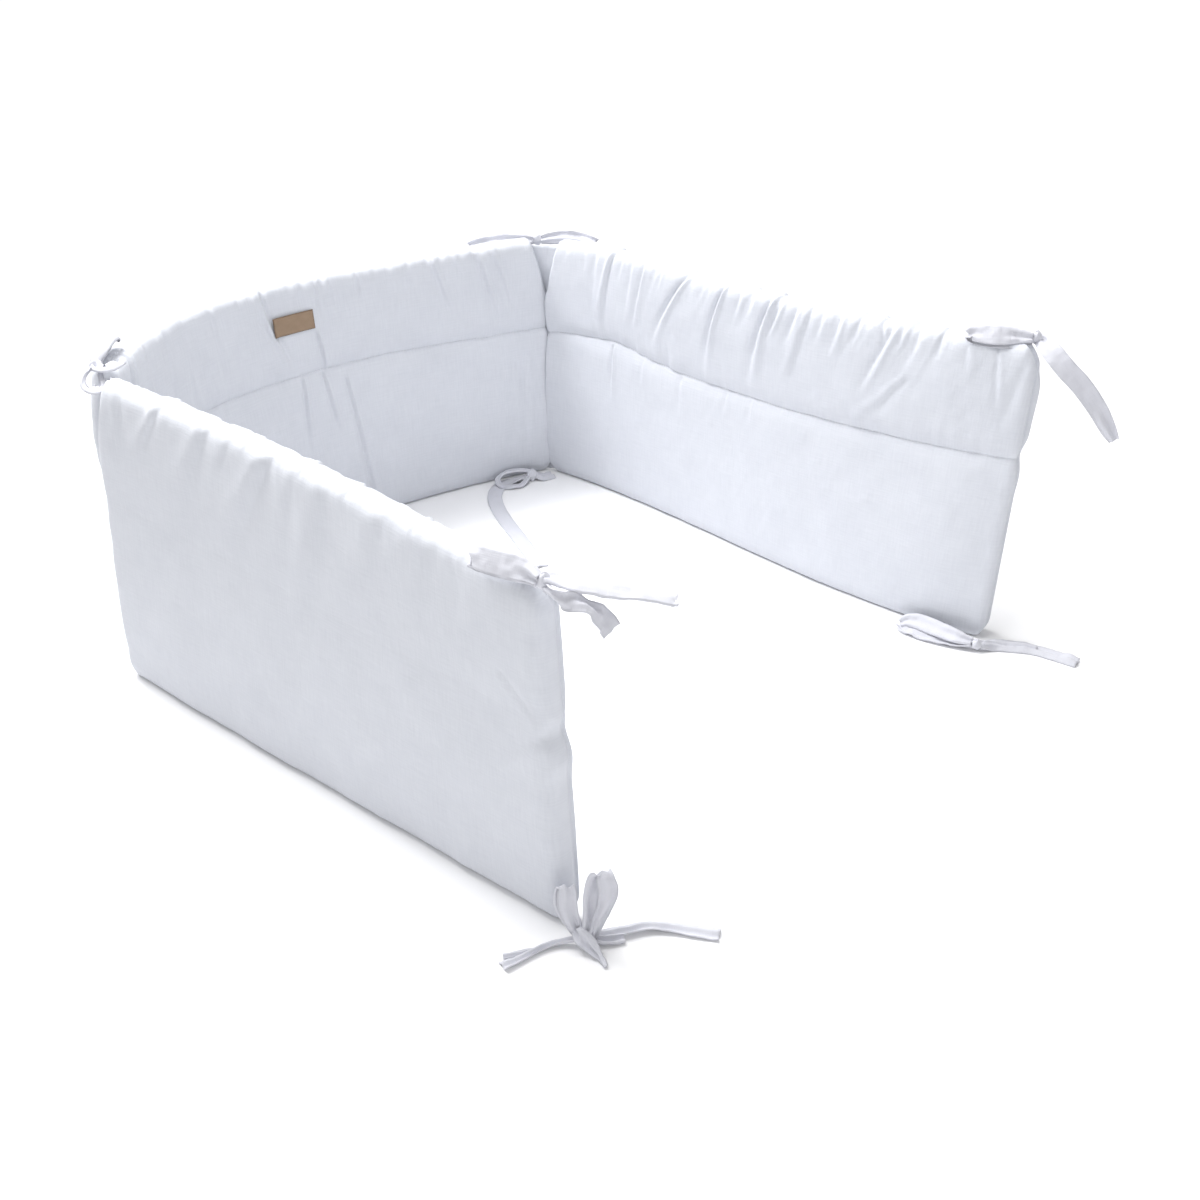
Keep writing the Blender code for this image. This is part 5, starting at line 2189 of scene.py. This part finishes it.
def placed(plan: Plan) -> Plan:
    """A plan moved into the frame."""
    corners = (plan.start, plan.start_handle, plan.end_handle, plan.end)
    return Plan(*((x + CENTRE[0], y + CENTRE[1]) for x, y in corners))


def make_pads() -> tuple[Pad, Pad, Pad]:
    """The three pads with their own plans, heights and folds.

    Returns:
        The near, the head and the far pad.
    """
    near = Pad(
        name="near_pad",
        node="panel_near",
        floor_plan=placed(Plan((-0.276, -0.2505), (-0.279, -0.066), (-0.285, 0.120), (-0.283, 0.303))),
        top_plan=placed(Plan((-0.2835, -0.243), (-0.2755, -0.066), (-0.257, 0.109), (-0.2695, 0.297))),
        start=NEAR_END,
        end=HINGED_END,
        top_heights=((0.0, 0.296), (0.15, 0.298), (0.30, 0.300), (0.55, 0.300)),
        stitch_heights=((0.0, 0.188), (0.28, 0.184), (0.56, 0.189)),
        inner_folds=NEAR_INNER,
        outer_folds=NEAR_OUTER,
        slants=((0.0, 0.0), (0.08, -0.2), (0.45, -0.2), (0.55, 0.0)),
        seed=101,
    )
    head = Pad(
        name="head_pad",
        node="panel_head",
        floor_plan=placed(Plan((-0.2705, 0.3155), (-0.101, 0.420), (0.106, 0.391), (0.2935, 0.2925))),
        top_plan=placed(Plan((-0.2635, 0.306), (-0.105, 0.4645), (0.040, 0.383), (0.2835, 0.2825))),
        start=HINGED_END,
        end=HINGED_END,
        top_heights=((0.0, 0.294), (0.10, 0.293), (0.20, 0.292), (0.58, 0.289)),
        stitch_heights=((0.0, 0.187), (0.20, 0.191), (0.40, 0.190), (0.56, 0.184)),
        inner_folds=HEAD_INNER,
        outer_folds=PLAIN_OUTER,
        slants=(
            (0.03, 0.12), (0.12, 0.0), (0.27, -0.22), (0.36, -0.08),
            (0.45, -0.24), (0.53, -0.24), (0.59, 0.0),
        ),
        seed=202,
    )
    far = Pad(
        name="far_pad",
        node="panel_far",
        floor_plan=placed(Plan((0.298, 0.283), (0.316, 0.100), (0.251, -0.088), (0.2815, -0.299))),
        top_plan=placed(Plan((0.283, 0.270), (0.318, 0.155), (0.222, 0.050), (0.3005, -0.306))),
        start=HINGED_END,
        end=FAR_END,
        top_heights=((0.0, 0.288), (0.05, 0.291), (0.12, 0.295), (0.25, 0.297), (0.59, 0.300)),
        stitch_heights=((0.0, 0.180), (0.10, 0.191), (0.20, 0.183), (0.40, 0.186), (0.58, 0.191)),
        inner_folds=FAR_INNER,
        outer_folds=PLAIN_OUTER,
        slants=(
            (0.02, 0.05), (0.10, 0.15), (0.20, 0.45), (0.28, 0.24),
            (0.45, 0.32), (0.53, 0.0), (0.59, 0.0),
        ),
        seed=303,
        gather=1.35,
    )
    return near, head, far


def make_ties() -> list[Tie]:
    """The ties, each moved into the frame with its own seed.

    Returns:
        The ties.
    """
    ties = []
    for number, tie in enumerate(TIES, start=1):
        x, y, z = tie.knot
        knot = (x + CENTRE[0] / MILLIMETRE, y + CENTRE[1] / MILLIMETRE, z)
        ties.append(replace(tie, knot=knot, seed=number))
    return ties


def main() -> None:
    """Build every piece in order and report it."""
    logging.basicConfig(level=logging.INFO, format="%(name)s %(message)s")
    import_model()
    Studio().build()
    cotton = CottonFinish("white_cotton_cloth").make()
    tape = CottonFinish(
        "white_ribbon", colour=(0.645, 0.650, 0.700), shadow=(0.585, 0.590, 0.645), thread_mm=1.0
    ).make()
    thread = ThreadFinish().make()
    near, head, far = make_pads()
    pieces: list[bpy.types.Object] = []
    for pad in (near, head, far):
        pieces += pad.build(cotton, thread)
    pieces += CornerStrip("left_corner", "corner_strip_left", near, head).build(cotton)
    pieces += CornerStrip("right_corner", "corner_strip_right", head, far, seed=4).build(cotton)
    pieces += Patch(head).build(PatchFinish().make())
    for tie in make_ties():
        pieces += tie.build(tape)
    for piece in pieces:
        LOG.info("%s: %d faces", piece.name, len(piece.data.polygons))


if __name__ == "__main__":
    main()
